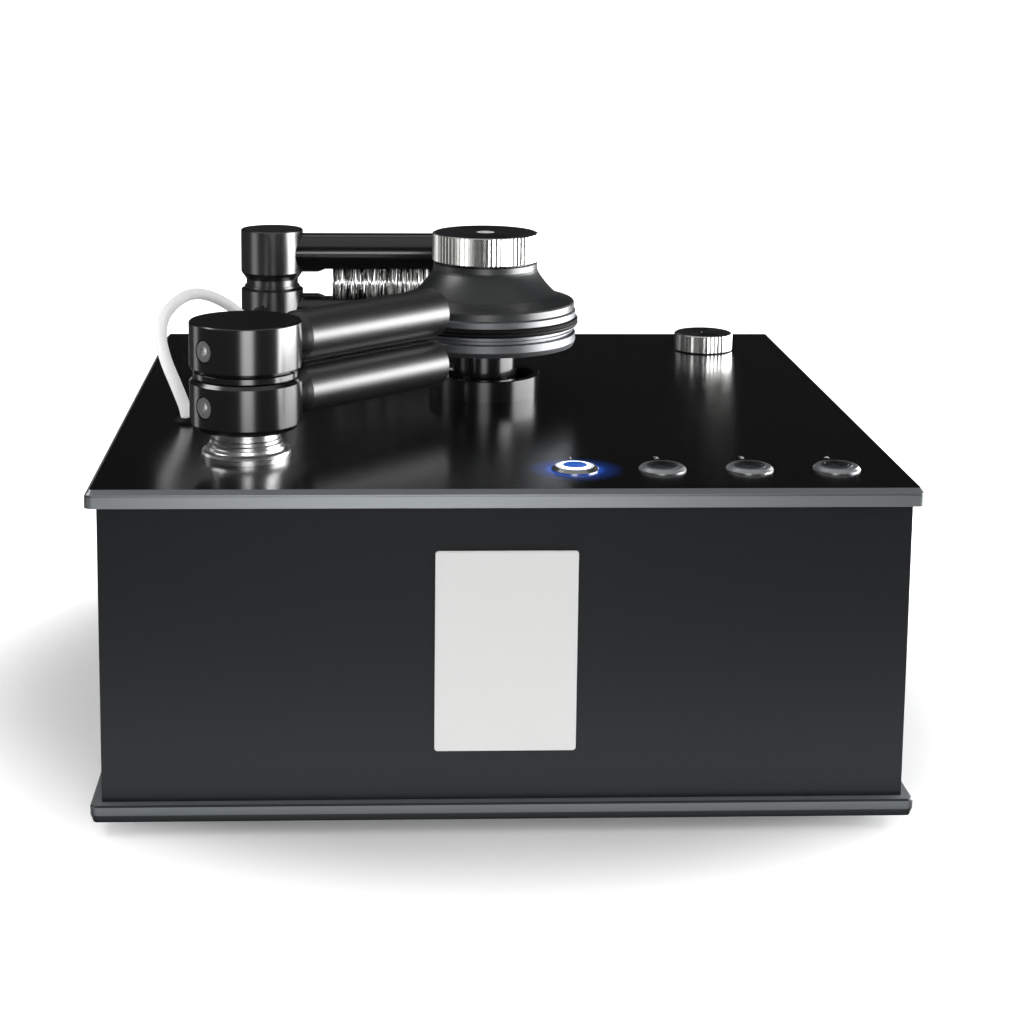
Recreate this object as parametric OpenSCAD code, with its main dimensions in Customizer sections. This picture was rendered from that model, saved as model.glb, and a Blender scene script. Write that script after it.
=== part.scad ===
// Record cleaning machine: a low black cabinet whose deck carries a short platter stack with a
// screw clamp, a twin suction arm on the front post and a twin brush arm on the rear post.
// Both arms reach over and under the record, so both of its sides are washed and dried at once.
// X runs to the right, Y to the rear and Z up. The origin is on the floor, under the middle of
// the outline, which includes the drain stub behind the rear panel.

/* [Cabinet] */
// Width of the deck and the bottom plate
cabinet_w = 370; // [350:1:400]
// Depth of the deck and the bottom plate
cabinet_d = 380; // [372:1:410]
// Height from the underside of the bottom plate to the deck
cabinet_h = 152; // [148:1:180]
// Thickness of the deck and the bottom plate
plate_t = 8; // [6.5:0.5:10]
// Radius of the upright corners of both plates
plate_r = 3.5; // [3:0.5:8]
// Thickness of the four panels
panel_t = 3; // [2:0.5:4]
// How far the panels stand back from the plate edges
panel_setback = 5; // [3:0.5:7]
// Side of the square corner posts
corner_post_w = 14; // [12:1:18]
// Height of the rubber feet
foot_h = 6; // [5.5:0.5:12]
// Diameter of the rubber feet
foot_d = 28; // [24:1:36]
// Distance from a plate edge to the middle of a foot
foot_inset = 42; // [38:1:50]
// Width of the blank front plate
badge_w = 63.4; // [40:0.1:90]
// Height of the blank front plate
badge_h = 92.4; // [60:0.1:100]
// Distance from the deck down to the top of the blank front plate
badge_drop = 28.7; // [20:0.1:35]

/* [Platter and clamp] */
// Distance of the spindle behind the middle of the deck
spindle_set_back = 18; // [14:1:22]
// Height of the record above the deck
record_h = 39.5; // [39:0.5:44]
// Diameter of the platter rim and of the clamp rim
platter_d = 96.2; // [92:0.2:100]
// Thickness of the platter
platter_h = 10.4; // [9.5:0.1:11]
// Thickness of each rubber seal
seal_t = 2.1; // [1.5:0.1:2.5]
// Diameter of the pin that enters the record's hole
record_pin_d = 7.1; // [7:0.02:7.2]
// Diameter of the drive shaft
drive_shaft_d = 16; // [12:0.5:18]
// Diameter of the fixed bearing column
bearing_column_d = 33; // [30:0.5:36]
// Diameter of the bearing dish on the deck
bearing_dish_d = 58.6; // [57:0.2:64]
// Height of the bearing dish
bearing_dish_h = 11; // [10.5:0.5:14]
// Height of the clamp from its lower plate to its neck
clamp_cone_h = 24.3; // [22:0.1:28]
// Diameter of the clamp's neck
clamp_neck_d = 55; // [50:0.5:56]
// Diameter of the clamp knob over its ribs
clamp_knob_d = 56; // [50:0.5:60]
// Height of the clamp knob
clamp_knob_h = 15.6; // [12:0.1:20]
// Number of ribs round the clamp knob
clamp_knob_ribs = 72; // [60:1:84]

/* [Suction arm] */
// Distance of the suction post to the left of the spindle
suction_post_x = 118; // [117:1:124]
// Distance of the suction post in front of the spindle
suction_post_ahead = 143.3; // [142:0.1:146]
// Diameter of the suction hubs
suction_hub_d = 52; // [48:0.5:54]
// Diameter of the suction tubes
suction_tube_d = 24; // [22:0.5:25]
// Distance of each tube's middle above or below the record
suction_tube_lift = 13; // [12.7:0.1:13.4]
// Distance from the post to the free end of the tubes
suction_reach = 126; // [110:1:128]
// Direction of the suction tubes, from the right towards the rear
suction_angle = 45; // [40:1:50]
// Gap between the two milled faces that the record runs in
suction_gap = 3; // [2.8:0.1:3.6]
// Width of the suction slit
suction_slit_w = 2; // [1.5:0.1:2.4]
// Diameter of the flange of the suction post on the deck
suction_flange_d = 41.6; // [40:0.2:46]

/* [Brush arm] */
// Distance of the brush post behind the spindle
brush_post_behind = 121; // [118:1:124]
// Diameter of the brush hub
brush_hub_d = 36; // [34:0.5:38]
// Diameter of the brush bars
brush_bar_d = 22.8; // [21:0.2:23.4]
// Distance of each bar's middle above or below the record
brush_bar_lift = 17.8; // [17.4:0.1:18]
// Length of the brush bars from the post
brush_reach = 112; // [104:1:114]
// Length of the bristles
bristle_l = 8.8; // [8:0.1:9]
// Bristles in each row of a brush
bristles_per_row = 52; // [40:1:60]
// Rows of bristles on each brush
bristle_rows = 4; // [2:1:4]

/* [Deck fittings] */
// Diameter of a button's bezel
bezel_d = 21.6; // [21:0.2:24]
// Distance between two buttons
button_pitch = 40; // [30:0.5:42]
// Distance of the first button to the right of the spindle
first_button_x = 32.5; // [30:0.5:36]
// Distance from the front edge of the deck to the buttons
button_depth = 37; // [34:0.5:39]
// How far a button travels
button_travel = 1.5; // [1:0.1:1.6]
// Diameter of the filler cap over its ribs
filler_cap_d = 34; // [32:0.2:40]
// Height of the filler cap
filler_cap_h = 10.2; // [9.5:0.1:12]
// Number of ribs round the filler cap
filler_cap_ribs = 44; // [30:1:60]
// Distance from the right edge of the deck to the filler cap
filler_side = 49; // [47:1:53]
// Distance from the rear edge of the deck to the filler cap
filler_back = 53; // [50:1:56]

/* [Rear panel] */
// Side of the square cooling fan
fan_w = 80; // [76:1:84]
// Thickness of the cooling fan
fan_t = 25; // [22:0.5:26]
// Number of fan blades
fan_blades = 7; // [5:1:9]
// How far the drain stub stands out behind the plates
drain_reach = 26; // [24:0.5:34]
// Diameter of the drain stub
drain_stub_d = 10; // [8:0.2:12]
// Length of the drain valve's lever
drain_lever_l = 34; // [26:1:38]

/* [Clearances] */
// Radial clearance of a shaft that turns or slides
run_gap = 0.04; // [0.03:0.01:0.08]
// Radial clearance of a piece that is fixed in its hole
fit_gap = 0.05; // [0.05:0.01:0.1]
// Gap between the faces of two pieces that move past each other
face_gap = 0.3; // [0.25:0.05:0.4]

/* [Hidden] */
$fn = 96;

// Main places, worked out from the driving sizes
front_y = -(cabinet_d + drain_reach) / 2;
rear_y = front_y + cabinet_d;
deck_z = foot_h + cabinet_h;
floor_z = foot_h + plate_t;
ceiling_z = deck_z - plate_t;
inner_h = ceiling_z - floor_z;
panel_x = cabinet_w / 2 - panel_setback;
inner_x = panel_x - panel_t;
panel_front_y = front_y + panel_setback;
panel_rear_y = rear_y - panel_setback;
inner_front_y = panel_front_y + panel_t;
inner_rear_y = panel_rear_y - panel_t;
spindle_depth = cabinet_d / 2 + spindle_set_back;
suction_post_depth = spindle_depth - suction_post_ahead;
brush_post_depth = spindle_depth + brush_post_behind;
filler_x = cabinet_w / 2 - filler_side;
filler_depth = cabinet_d - filler_back;

// Colours
black_anodised = "#26282b";
black_satin = "#1b1c1e";
bright_steel = "#c9ccd0";
rubber_black = "#161616";
milky = "#e4e4e0";
tank_white = "#d8dcd8";

// Turned shape: points are radius and height
module turned(points) {
    rotate_extrude() polygon(points);
}

// A place on the deck: x, distance from its front edge and height above it
module on_deck(x, depth, h = 0) {
    translate([x, front_y + depth, deck_z + h]) children();
}

module at_spindle(h = 0) {
    on_deck(0, spindle_depth, h) children();
}

module at_suction_post(h = 0) {
    on_deck(-suction_post_x, suction_post_depth, h) children();
}

module at_brush_post(h = 0) {
    on_deck(-suction_post_x, brush_post_depth, h) children();
}

module at_filler(h = 0) {
    on_deck(filler_x, filler_depth, h) children();
}

module at_button(index, h = 0) {
    on_deck(first_button_x + index * button_pitch, button_depth, h) children();
}

// Ring or, with inner at zero, a disc
module ring(outer, inner, h) {
    difference() {
        cylinder(r = outer, h = h);
        translate([0, 0, -1]) cylinder(r = inner, h = h + 2);
    }
}

// Rectangle with round corners
module rounded_rect(w, h, r) {
    square([w - 2 * r, h], center = true);
    square([w, h - 2 * r], center = true);
    for (sx = [-1, 1], sy = [-1, 1])
        translate([sx * (w / 2 - r), sy * (h / 2 - r)]) circle(r = r, $fn = 48);
}

// Cross-section of a plate from its edge points, each an inset and a height
function plate_section(half, edge) = concat(
    [for (p = edge) [half - p[0], p[1]]],
    [for (i = [len(edge) - 1 : -1 : 0]) [edge[i][0] - half, edge[i][1]]]
);

// Plate whose machined edge runs round its four corners
module edged_plate(w, d, t, r, edge) {
    rotate([90, 0, 0]) linear_extrude(d - 2 * r, center = true) polygon(plate_section(w / 2, edge));
    rotate([90, 0, 90]) linear_extrude(w - 2 * r, center = true) polygon(plate_section(d / 2, edge));
    for (quarter = [0 : 3]) {
        sx = quarter == 0 || quarter == 3 ? 1 : -1;
        sy = quarter < 2 ? 1 : -1;
        translate([sx * (w / 2 - r), sy * (d / 2 - r), 0])
            rotate([0, 0, 90 * quarter])
                rotate_extrude(angle = 90, $fn = 48)
                    polygon(concat([[0, 0]], [for (p = edge) [r - p[0], p[1]]], [[0, t]]));
    }
}

// Straight knurl: a star outline with one point per rib
function star(outer, depth, ribs) = [
    for (i = [0 : 2 * ribs - 1])
        let (r = i % 2 == 0 ? outer : outer - depth, a = 180 * i / ribs)
            [r * cos(a), r * sin(a)]
];

// Knurled drum: the ribs stop short of both rims, where a plain bevelled collar shows
module knurled_drum(outer, h, ribs, depth, bevel_low, bevel_top) {
    collar = outer - depth - 0.15;
    turned([
        [0, 0], [collar - bevel_low, 0], [collar, bevel_low],
        [collar, h - bevel_top], [collar - bevel_top, h], [0, h]
    ]);
    translate([0, 0, bevel_low]) linear_extrude(h - bevel_low - bevel_top) polygon(star(outer, depth, ribs));
}

// Pipe that follows straight runs with ball-shaped bends
module pipe_run(points, r) {
    for (i = [0 : len(points) - 2]) {
        run = points[i + 1] - points[i];
        length = norm(run);
        bearing = atan2(run[1], run[0]);
        tilt = acos(run[2] / length);
        translate(points[i]) rotate([0, tilt, bearing]) cylinder(r = r, h = length, $fn = 32);
        if (i > 0) translate(points[i]) sphere(r = r, $fn = 32);
    }
}

// Cabinet shell

// Machined edge of the deck: a plain edge, a thin step and a bevel
deck_bevel = 2.4;
deck_step = 0.4;
deck_edge = [
    [0, 0], [0, plate_t - deck_bevel - deck_step], [deck_step, plate_t - deck_bevel - deck_step],
    [deck_step, plate_t - deck_bevel + deck_step], [deck_bevel, plate_t]
];
// Machined edge of the bottom plate: slanted below, a small bevel above
bottom_edge = [[1.2, 0], [0, 3.5], [0, plate_t - 0.8], [0.8, plate_t]];

post_inset = panel_setback + panel_t + corner_post_w / 2;
tie_r = 2.5;
tie_head_r = 4.25;
tie_head_h = 5;
tie_depth = 5;
foot_screw_r = 2;
foot_screw_depth = 4;

module four_corners(inset) {
    for (sx = [-1, 1], y = [front_y + inset, rear_y - inset])
        translate([sx * (cabinet_w / 2 - inset), y, 0]) children();
}

// Bearing dish
dish_floor_h = 5.5;
dish_wall = 3.3;
bearing_spigot_r = bearing_column_d / 2 - 0.5;
bearing_screw_r = 2;
bearing_screw_ring = (bearing_column_d / 2 + bearing_dish_d / 2 - dish_wall) / 2;
bearing_screws = 4;
bearing_screw_depth = 5;

module around_bearing() {
    for (i = [0 : bearing_screws - 1])
        rotate([0, 0, 45 + 360 * i / bearing_screws]) translate([bearing_screw_ring, 0, 0]) children();
}

// Holes through the deck
suction_spigot_r = 14;
brush_spigot_r = 12;
filler_neck_r = 13;
button_barrel_r = 9.4;
grommet_r = 5;

module deck_plate() {
    color(black_satin)
    difference() {
        translate([0, front_y + cabinet_d / 2, ceiling_z])
            edged_plate(cabinet_w, cabinet_d, plate_t, plate_r, deck_edge);
        at_spindle(-plate_t - 1) {
            cylinder(r = bearing_spigot_r + fit_gap, h = plate_t + 2);
            around_bearing() translate([0, 0, plate_t + 1 - bearing_screw_depth])
                cylinder(r = bearing_screw_r + fit_gap, h = bearing_screw_depth + 1, $fn = 24);
        }
        at_suction_post(-plate_t - 1) cylinder(r = suction_spigot_r + fit_gap, h = plate_t + 2);
        at_brush_post(-plate_t - 1) cylinder(r = brush_spigot_r + fit_gap, h = plate_t + 2);
        at_filler(-plate_t - 1) cylinder(r = filler_neck_r + fit_gap, h = plate_t + 2);
        for (i = [0 : 3])
            at_button(i, -plate_t - 1) cylinder(r = button_barrel_r + fit_gap, h = plate_t + 2);
        translate([hose_route[0][0], hose_route[0][1], ceiling_z - 1])
            cylinder(r = grommet_r + fit_gap, h = plate_t + 2);
        four_corners(post_inset) translate([0, 0, ceiling_z - 1])
            cylinder(r = tie_r + fit_gap, h = tie_depth + 1, $fn = 24);
    }
}

intake_slots = 6;
intake_slot_l = 50;
intake_slot_w = 3.5;
intake_x = -10;
intake_depth = 255;

module bottom_plate() {
    color(black_satin)
    difference() {
        translate([0, front_y + cabinet_d / 2, foot_h])
            edged_plate(cabinet_w, cabinet_d, plate_t, plate_r, bottom_edge);
        four_corners(post_inset) {
            translate([0, 0, foot_h - 1]) cylinder(r = tie_r + fit_gap, h = plate_t + 2, $fn = 24);
            translate([0, 0, foot_h - 1]) cylinder(r = tie_head_r + 0.35, h = tie_head_h + 1, $fn = 32);
        }
        four_corners(foot_inset) translate([0, 0, foot_h - 1])
            cylinder(r = foot_screw_r + fit_gap, h = foot_screw_depth + 1, $fn = 24);
        for (i = [0 : intake_slots - 1])
            translate([intake_x + (i - (intake_slots - 1) / 2) * 2 * intake_slot_w,
                       front_y + intake_depth, foot_h + plate_t / 2])
                cube([intake_slot_w, intake_slot_l, plate_t + 2], center = true);
    }
}

module front_panel() {
    color(black_satin)
    translate([-panel_x, panel_front_y, floor_z]) cube([2 * panel_x, panel_t, inner_h]);
}

module side_panel() {
    translate([-panel_x, inner_front_y, floor_z]) cube([panel_t, inner_rear_y - inner_front_y, inner_h]);
}

module left_panel() {
    color(black_satin) side_panel();
}

module right_panel() {
    color(black_satin) mirror([1, 0, 0]) side_panel();
}

post_gap = 5;
fan_x = fan_w / 2 + post_gap + corner_post_w - inner_x;
fan_z = floor_z + fan_w / 2 + 26;
fan_opening_r = fan_w / 2 - 2;
vent_slot_w = 3.5;
vent_pitch = 7.6;
vent_slots = 9;
inlet_x = 12;
inlet_z = floor_z + 62;
inlet_w = 50;
inlet_h = 28;
inlet_body_depth = 30;
drain_pipe_r = 6;
waste_w = 110;
waste_h = 92;
waste_left = post_gap - inner_x;
waste_depth_front = suction_post_depth + 47.3;
waste_depth_rear = brush_post_depth - 47;
drain_x = waste_left + waste_w - drain_pipe_r;
drain_z = floor_z + 16;

module rear_panel() {
    color(black_satin)
    difference() {
        translate([-panel_x, inner_rear_y, floor_z]) cube([2 * panel_x, panel_t, inner_h]);
        for (i = [0 : vent_slots - 1]) {
            x = (i - (vent_slots - 1) / 2) * vent_pitch;
            reach = fan_opening_r - 1;
            translate([fan_x + x, inner_rear_y + panel_t / 2, fan_z])
                cube([vent_slot_w, panel_t + 2, 2 * sqrt(reach * reach - x * x)], center = true);
        }
        translate([inlet_x, inner_rear_y + panel_t / 2, inlet_z])
            cube([inlet_w - 3 + 2 * fit_gap, panel_t + 2, inlet_h - 3 + 2 * fit_gap], center = true);
        translate([drain_x, inner_rear_y - 1, drain_z]) rotate([-90, 0, 0])
            cylinder(r = drain_pipe_r + fit_gap, h = panel_t + 2, $fn = 48);
    }
}

module corner_posts() {
    color("silver")
    four_corners(post_inset) translate([0, 0, floor_z]) difference() {
        translate([0, 0, inner_h / 2]) cube([corner_post_w, corner_post_w, inner_h], center = true);
        translate([0, 0, -1]) cylinder(r = tie_r + 0.2, h = inner_h + 2, $fn = 24);
    }
}

// Socket-head screw along +Z with the top of its head at height 0
module socket_screw(shank_r, length, head_r, head_h) {
    difference() {
        union() {
            translate([0, 0, -head_h]) cylinder(r = head_r, h = head_h, $fn = 48);
            translate([0, 0, -head_h - length]) cylinder(r = shank_r, h = length + 1, $fn = 24);
        }
        translate([0, 0, -head_h * 0.6]) cylinder(r = head_r * 0.52, h = head_h, $fn = 6);
    }
}

foot_recess_r = 6;
foot_recess_h = 3.2;
foot_screw_head_h = 2;
bearing_screw_head_h = 3.6;

module machine_screws() {
    color(bright_steel) {
        four_corners(post_inset) translate([0, 0, foot_h]) rotate([180, 0, 0])
            socket_screw(tie_r, cabinet_h - plate_t - tie_head_h + tie_depth - 0.5, tie_head_r, tie_head_h);
        four_corners(foot_inset) translate([0, 0, foot_recess_h - foot_screw_head_h]) rotate([180, 0, 0])
            socket_screw(foot_screw_r, foot_h - foot_recess_h + foot_screw_depth - 0.5, 4, foot_screw_head_h);
        at_spindle(dish_floor_h + bearing_screw_head_h) around_bearing()
            socket_screw(
                bearing_screw_r, dish_floor_h + bearing_screw_depth - 0.5, 3.4, bearing_screw_head_h
            );
    }
}

module rubber_feet() {
    color(rubber_black)
    four_corners(foot_inset) turned([
        [foot_recess_r, 0], [foot_d / 2 - 2, 0], [foot_d / 2 - 1, 1], [foot_d / 2, foot_h],
        [foot_screw_r + fit_gap, foot_h], [foot_screw_r + fit_gap, foot_recess_h],
        [foot_recess_r, foot_recess_h]
    ]);
}

badge_t = 1;
badge_r = 1.5;

module front_badge() {
    color("#ececec")
    translate([0, panel_front_y, deck_z - badge_drop - badge_h / 2]) rotate([90, 0, 0]) {
        linear_extrude(badge_t - 0.3) rounded_rect(badge_w, badge_h, badge_r);
        linear_extrude(badge_t) rounded_rect(badge_w - 1, badge_h - 1, badge_r - 0.5);
    }
}

// Rear fittings

socket_w = 23;
socket_h = 15.6;
socket_depth = 20;
inlet_flange_t = 2;
inlet_pin_l = 13;
inlet_pin_pitch = 7;
rocker_w = 11;
rocker_h = 19;
socket_x = -9;
rocker_x = 13.5;
rocker_tilt = 8;
rocker_pivot_in = 4;
rocker_pin_r = 1.5;
rocker_drop = 7;

// The inlet is drawn with its flange's rear face at y = 0
module at_inlet() {
    translate([inlet_x, panel_rear_y + inlet_flange_t, inlet_z]) children();
}

module mains_inlet() {
    color(rubber_black)
    at_inlet() {
        difference() {
            union() {
                rotate([90, 0, 0]) linear_extrude(inlet_flange_t) rounded_rect(inlet_w, inlet_h, 2);
                translate([0, -inlet_body_depth / 2 - 1, 0])
                    cube([inlet_w - 3, inlet_body_depth - 1, inlet_h - 3], center = true);
            }
            // Socket cavity
            translate([socket_x, 1 - socket_depth / 2, 0])
                cube([socket_w, socket_depth + 2, socket_h], center = true);
            // Rocker well
            translate([rocker_x, 0, 0])
                cube([rocker_w + 1, 2 * (rocker_drop + 5), rocker_h + 2], center = true);
        }
        // Line, neutral and earth pins
        for (i = [-1, 0, 1])
            translate([socket_x + i * inlet_pin_pitch, -socket_depth + inlet_pin_l / 2, i == 0 ? 2 : -2])
                cube([2, inlet_pin_l, 4], center = true);
        // Pivot pins of the rocker
        for (side = [-1, 1])
            translate([rocker_x + side * (rocker_w / 2 + 0.9), -rocker_pivot_in, 0])
                rotate([0, -side * 90, 0]) cylinder(r = rocker_pin_r, h = 2.4, $fn = 32);
    }
}

// Rocker outline, seen from the side: a shallow V that stands out at one end
module power_rocker() {
    color("#303030")
    at_inlet() translate([rocker_x, -rocker_pivot_in, 0]) rotate([-rocker_tilt, 0, 0])
        difference() {
            rotate([0, -90, 0])
                linear_extrude(rocker_w, center = true)
                    polygon([
                        [-rocker_h / 2 + 1, -rocker_drop + 2], [rocker_h / 2 - 1, -rocker_drop + 2],
                        [rocker_h / 2 - 0.6, 4.4], [0, 3.4], [-rocker_h / 2 + 0.6, 4.4]
                    ]);
            for (side = [-1, 1])
                translate([side * (rocker_w / 2 + 1), 0, 0]) rotate([0, -side * 90, 0])
                    cylinder(r = rocker_pin_r + run_gap, h = 2.8, $fn = 32);
        }
}

fan_hub_r = 15;
fan_strut_t = 3;
fan_shaft_r = 2;

// The fan is drawn along +Z, which points to the rear panel
module at_fan() {
    translate([fan_x, inner_rear_y - fan_t, fan_z]) rotate([-90, 0, 0]) children();
}

module fan_frame() {
    color(rubber_black)
    at_fan() {
        difference() {
            translate([0, 0, fan_t / 2]) cube([fan_w, fan_w, fan_t], center = true);
            translate([0, 0, -1]) cylinder(r = fan_opening_r, h = fan_t + 2);
        }
        // Four struts carry the motor hub
        cylinder(r = fan_hub_r, h = fan_strut_t + 1);
        intersection() {
            union() for (a = [45, 135])
                rotate([0, 0, a]) translate([0, 0, fan_strut_t / 2])
                    cube([fan_w * 1.2, 4, fan_strut_t], center = true);
            cylinder(r = fan_opening_r + 1, h = fan_strut_t);
        }
        cylinder(r = fan_shaft_r, h = 15, $fn = 24);
    }
}

module fan_rotor() {
    color("#2a2a2a")
    at_fan() translate([0, 0, fan_strut_t + 1 + face_gap]) {
        difference() {
            union() {
                cylinder(r = fan_hub_r, h = fan_t - 7);
                for (i = [0 : fan_blades - 1])
                    rotate([0, 0, 360 * i / fan_blades])
                        translate([(fan_hub_r + fan_opening_r) / 2 - 1, 0, (fan_t - 7) / 2])
                            rotate([38, 0, 0])
                                cube([fan_opening_r - fan_hub_r - 1, 20, 1.6], center = true);
            }
            translate([0, 0, -1]) cylinder(r = fan_shaft_r + run_gap, h = 13, $fn = 24);
        }
    }
}

drain_nut_t = 4;
drain_body_r = 9;
drain_body_l = 14;
drain_stem_r = 3;
drain_stem_h = 4.5;

module drain_valve() {
    color(bright_steel)
    translate([drain_x, 0, drain_z]) {
        difference() {
            union() {
                // Pipe from the waste tank through the panel
                translate([0, front_y + waste_depth_rear, 0]) rotate([-90, 0, 0])
                    cylinder(r = drain_pipe_r, h = panel_rear_y - front_y - waste_depth_rear + 1, $fn = 48);
                translate([0, panel_rear_y, 0]) rotate([-90, 0, 0]) {
                    rotate([0, 0, 30]) cylinder(r = drain_body_r + 3, h = drain_nut_t, $fn = 6);
                    cylinder(r = drain_body_r, h = drain_nut_t + drain_body_l, $fn = 48);
                    cylinder(r = drain_stub_d / 2, h = panel_setback + drain_reach, $fn = 48);
                }
                // Boss that carries the lever
                translate([0, panel_rear_y + drain_nut_t + drain_body_l / 2, 0])
                    cylinder(r = drain_stem_r + 2, h = drain_body_r + 1.5, $fn = 32);
                translate([0, panel_rear_y + drain_nut_t + drain_body_l / 2, 0])
                    cylinder(r = drain_stem_r, h = drain_body_r + 1.5 + drain_stem_h, $fn = 32);
            }
            // Bore, closed by the ball in the middle of the body
            translate([0, panel_rear_y + drain_nut_t + drain_body_l - 3, 0]) rotate([-90, 0, 0])
                cylinder(r = drain_stub_d / 2 - 1.5, h = drain_reach + 10, $fn = 32);
        }
    }
}

module drain_lever() {
    color("#b02a20")
    translate([drain_x, panel_rear_y + drain_nut_t + drain_body_l / 2,
               drain_z + drain_body_r + 1.5 + face_gap]) difference() {
        union() {
            cylinder(r = 6, h = 3, $fn = 48);
            translate([0, -4, 0]) cube([drain_lever_l - 4, 8, 3]);
            translate([drain_lever_l - 4, 0, 0]) cylinder(r = 4, h = 3, $fn = 48);
        }
        translate([0, 0, -1]) cylinder(r = drain_stem_r + run_gap, h = 5, $fn = 32);
    }
}

// Inside the cabinet

tank_wall = 2.5;
tank_gap = 2;
clean_w = 85 - tank_gap;
clean_d = 110;
clean_h = 96;
clean_left = inner_x - corner_post_w - tank_gap - clean_w;
clean_front = inner_rear_y - front_y - 3 * tank_gap - clean_d;
neck_drop = ceiling_z - floor_z - clean_h;

// Blow-moulded tank: rounded upright corners, open inside
module tank(w, d, h, r) {
    difference() {
        translate([w / 2, d / 2, 0]) linear_extrude(h) rounded_rect(w, d, r);
        translate([w / 2, d / 2, tank_wall]) linear_extrude(h - 2 * tank_wall)
            rounded_rect(w - 2 * tank_wall, d - 2 * tank_wall, r - tank_wall);
    }
}

module clean_tank() {
    color(tank_white)
    difference() {
        translate([clean_left, front_y + clean_front, floor_z]) tank(clean_w, clean_d, clean_h, 8);
        at_filler(-plate_t - neck_drop - tank_wall - 1)
            cylinder(r = filler_plug_r + 0.5, h = tank_wall + 2);
    }
}

filler_plug_r = 9.6;
filler_seal_r = 10;
filler_plug_l = 12;
filler_bore_r = filler_seal_r + face_gap;

module filler_neck() {
    color(tank_white)
    at_filler() turned([
        [filler_bore_r, -plate_t - neck_drop], [filler_neck_r + 3, -plate_t - neck_drop],
        [filler_neck_r + 3, -plate_t], [filler_neck_r, -plate_t], [filler_neck_r, 0.9],
        [filler_bore_r, 0.9]
    ]);
}

module filler_cap() {
    at_filler() {
        color(bright_steel)
        difference() {
            union() {
                translate([0, 0, face_gap])
                    knurled_drum(filler_cap_d / 2, filler_cap_h, filler_cap_ribs, 0.45, 0.5, 0.5);
                translate([0, 0, 1.2 - filler_plug_l]) cylinder(r = filler_plug_r, h = filler_plug_l);
            }
            // Room for the lip of the neck
            translate([0, 0, -1]) ring(filler_neck_r + 0.5, filler_plug_r, 2.2);
            // Groove of the ring seal
            translate([0, 0, -7]) ring(filler_plug_r + 1, filler_plug_r - 1, 2);
            // Seat of the top disc and the dimple
            translate([0, 0, face_gap + filler_cap_h - 1]) cylinder(r = filler_cap_d / 2 - 1.2, h = 2);
        }
        color(black_anodised)
        translate([0, 0, face_gap + filler_cap_h - 1]) difference() {
            cylinder(r = filler_cap_d / 2 - 1.2 - fit_gap, h = 1);
            translate([0, 0, 1.2]) sphere(r = 1.5, $fn = 32);
        }
        color(rubber_black)
        translate([0, 0, -7 + fit_gap]) ring(filler_seal_r, filler_plug_r - 1 + fit_gap, 2 - 2 * fit_gap);
    }
}

module waste_tank() {
    color(tank_white)
    difference() {
        translate([waste_left, front_y + waste_depth_front, floor_z])
            tank(waste_w, waste_depth_rear - waste_depth_front, waste_h, 8);
        translate([drain_x, front_y + waste_depth_rear - tank_wall - 1, drain_z]) rotate([-90, 0, 0])
            cylinder(r = drain_pipe_r - 1.5, h = tank_wall + 2, $fn = 32);
    }
}

turbine_r = 58;
turbine_x = inner_x - 23 - turbine_r;
turbine_depth = spindle_depth - 76;
turbine_foot = 4;
turbine_belt_low = 24;
turbine_belt_top = 27;
turbine_belt_out = 2;
turbine_shoulder_low = 46;
turbine_shoulder_top = 52;
turbine_shoulder_in = 6;
motor_collar_r = 40;
motor_collar_top = 58;
motor_can_r = 34;
motor_can_low = 60;
motor_can_top = 102;
motor_can_bevel = 4;
turbine_nozzle_h = 26;
turbine_nozzle_z = floor_z + turbine_nozzle_h;
turbine_nozzle_l = 8;
suction_hose_r = 9;

module vacuum_turbine() {
    color("#9a9da1")
    translate([turbine_x, front_y + turbine_depth, floor_z]) {
        turned([
            [0, 0], [turbine_r - turbine_foot, 0], [turbine_r, turbine_foot],
            [turbine_r, turbine_belt_low], [turbine_r + turbine_belt_out, turbine_belt_low],
            [turbine_r + turbine_belt_out, turbine_belt_top], [turbine_r, turbine_belt_top],
            [turbine_r, turbine_shoulder_low], [turbine_r - turbine_shoulder_in, turbine_shoulder_top],
            [motor_collar_r, turbine_shoulder_top], [motor_collar_r, motor_collar_top],
            [motor_can_r, motor_can_low], [motor_can_r, motor_can_top - motor_can_bevel],
            [motor_can_r - motor_can_bevel, motor_can_top], [0, motor_can_top]
        ]);
        translate([-turbine_r - turbine_nozzle_l, 0, turbine_nozzle_h]) rotate([0, 90, 0])
            cylinder(r = suction_hose_r + 2, h = turbine_nozzle_l + 10, $fn = 48);
    }
}

inner_liquid_r = 3;
pump_w = 34;
pump_d = 56;
pump_left = clean_left - 12 - pump_w;
pump_front = clean_front - 22;
pump_h = 40;
pump_port_z = floor_z + 12;
post_outlet_h = -40;

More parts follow.
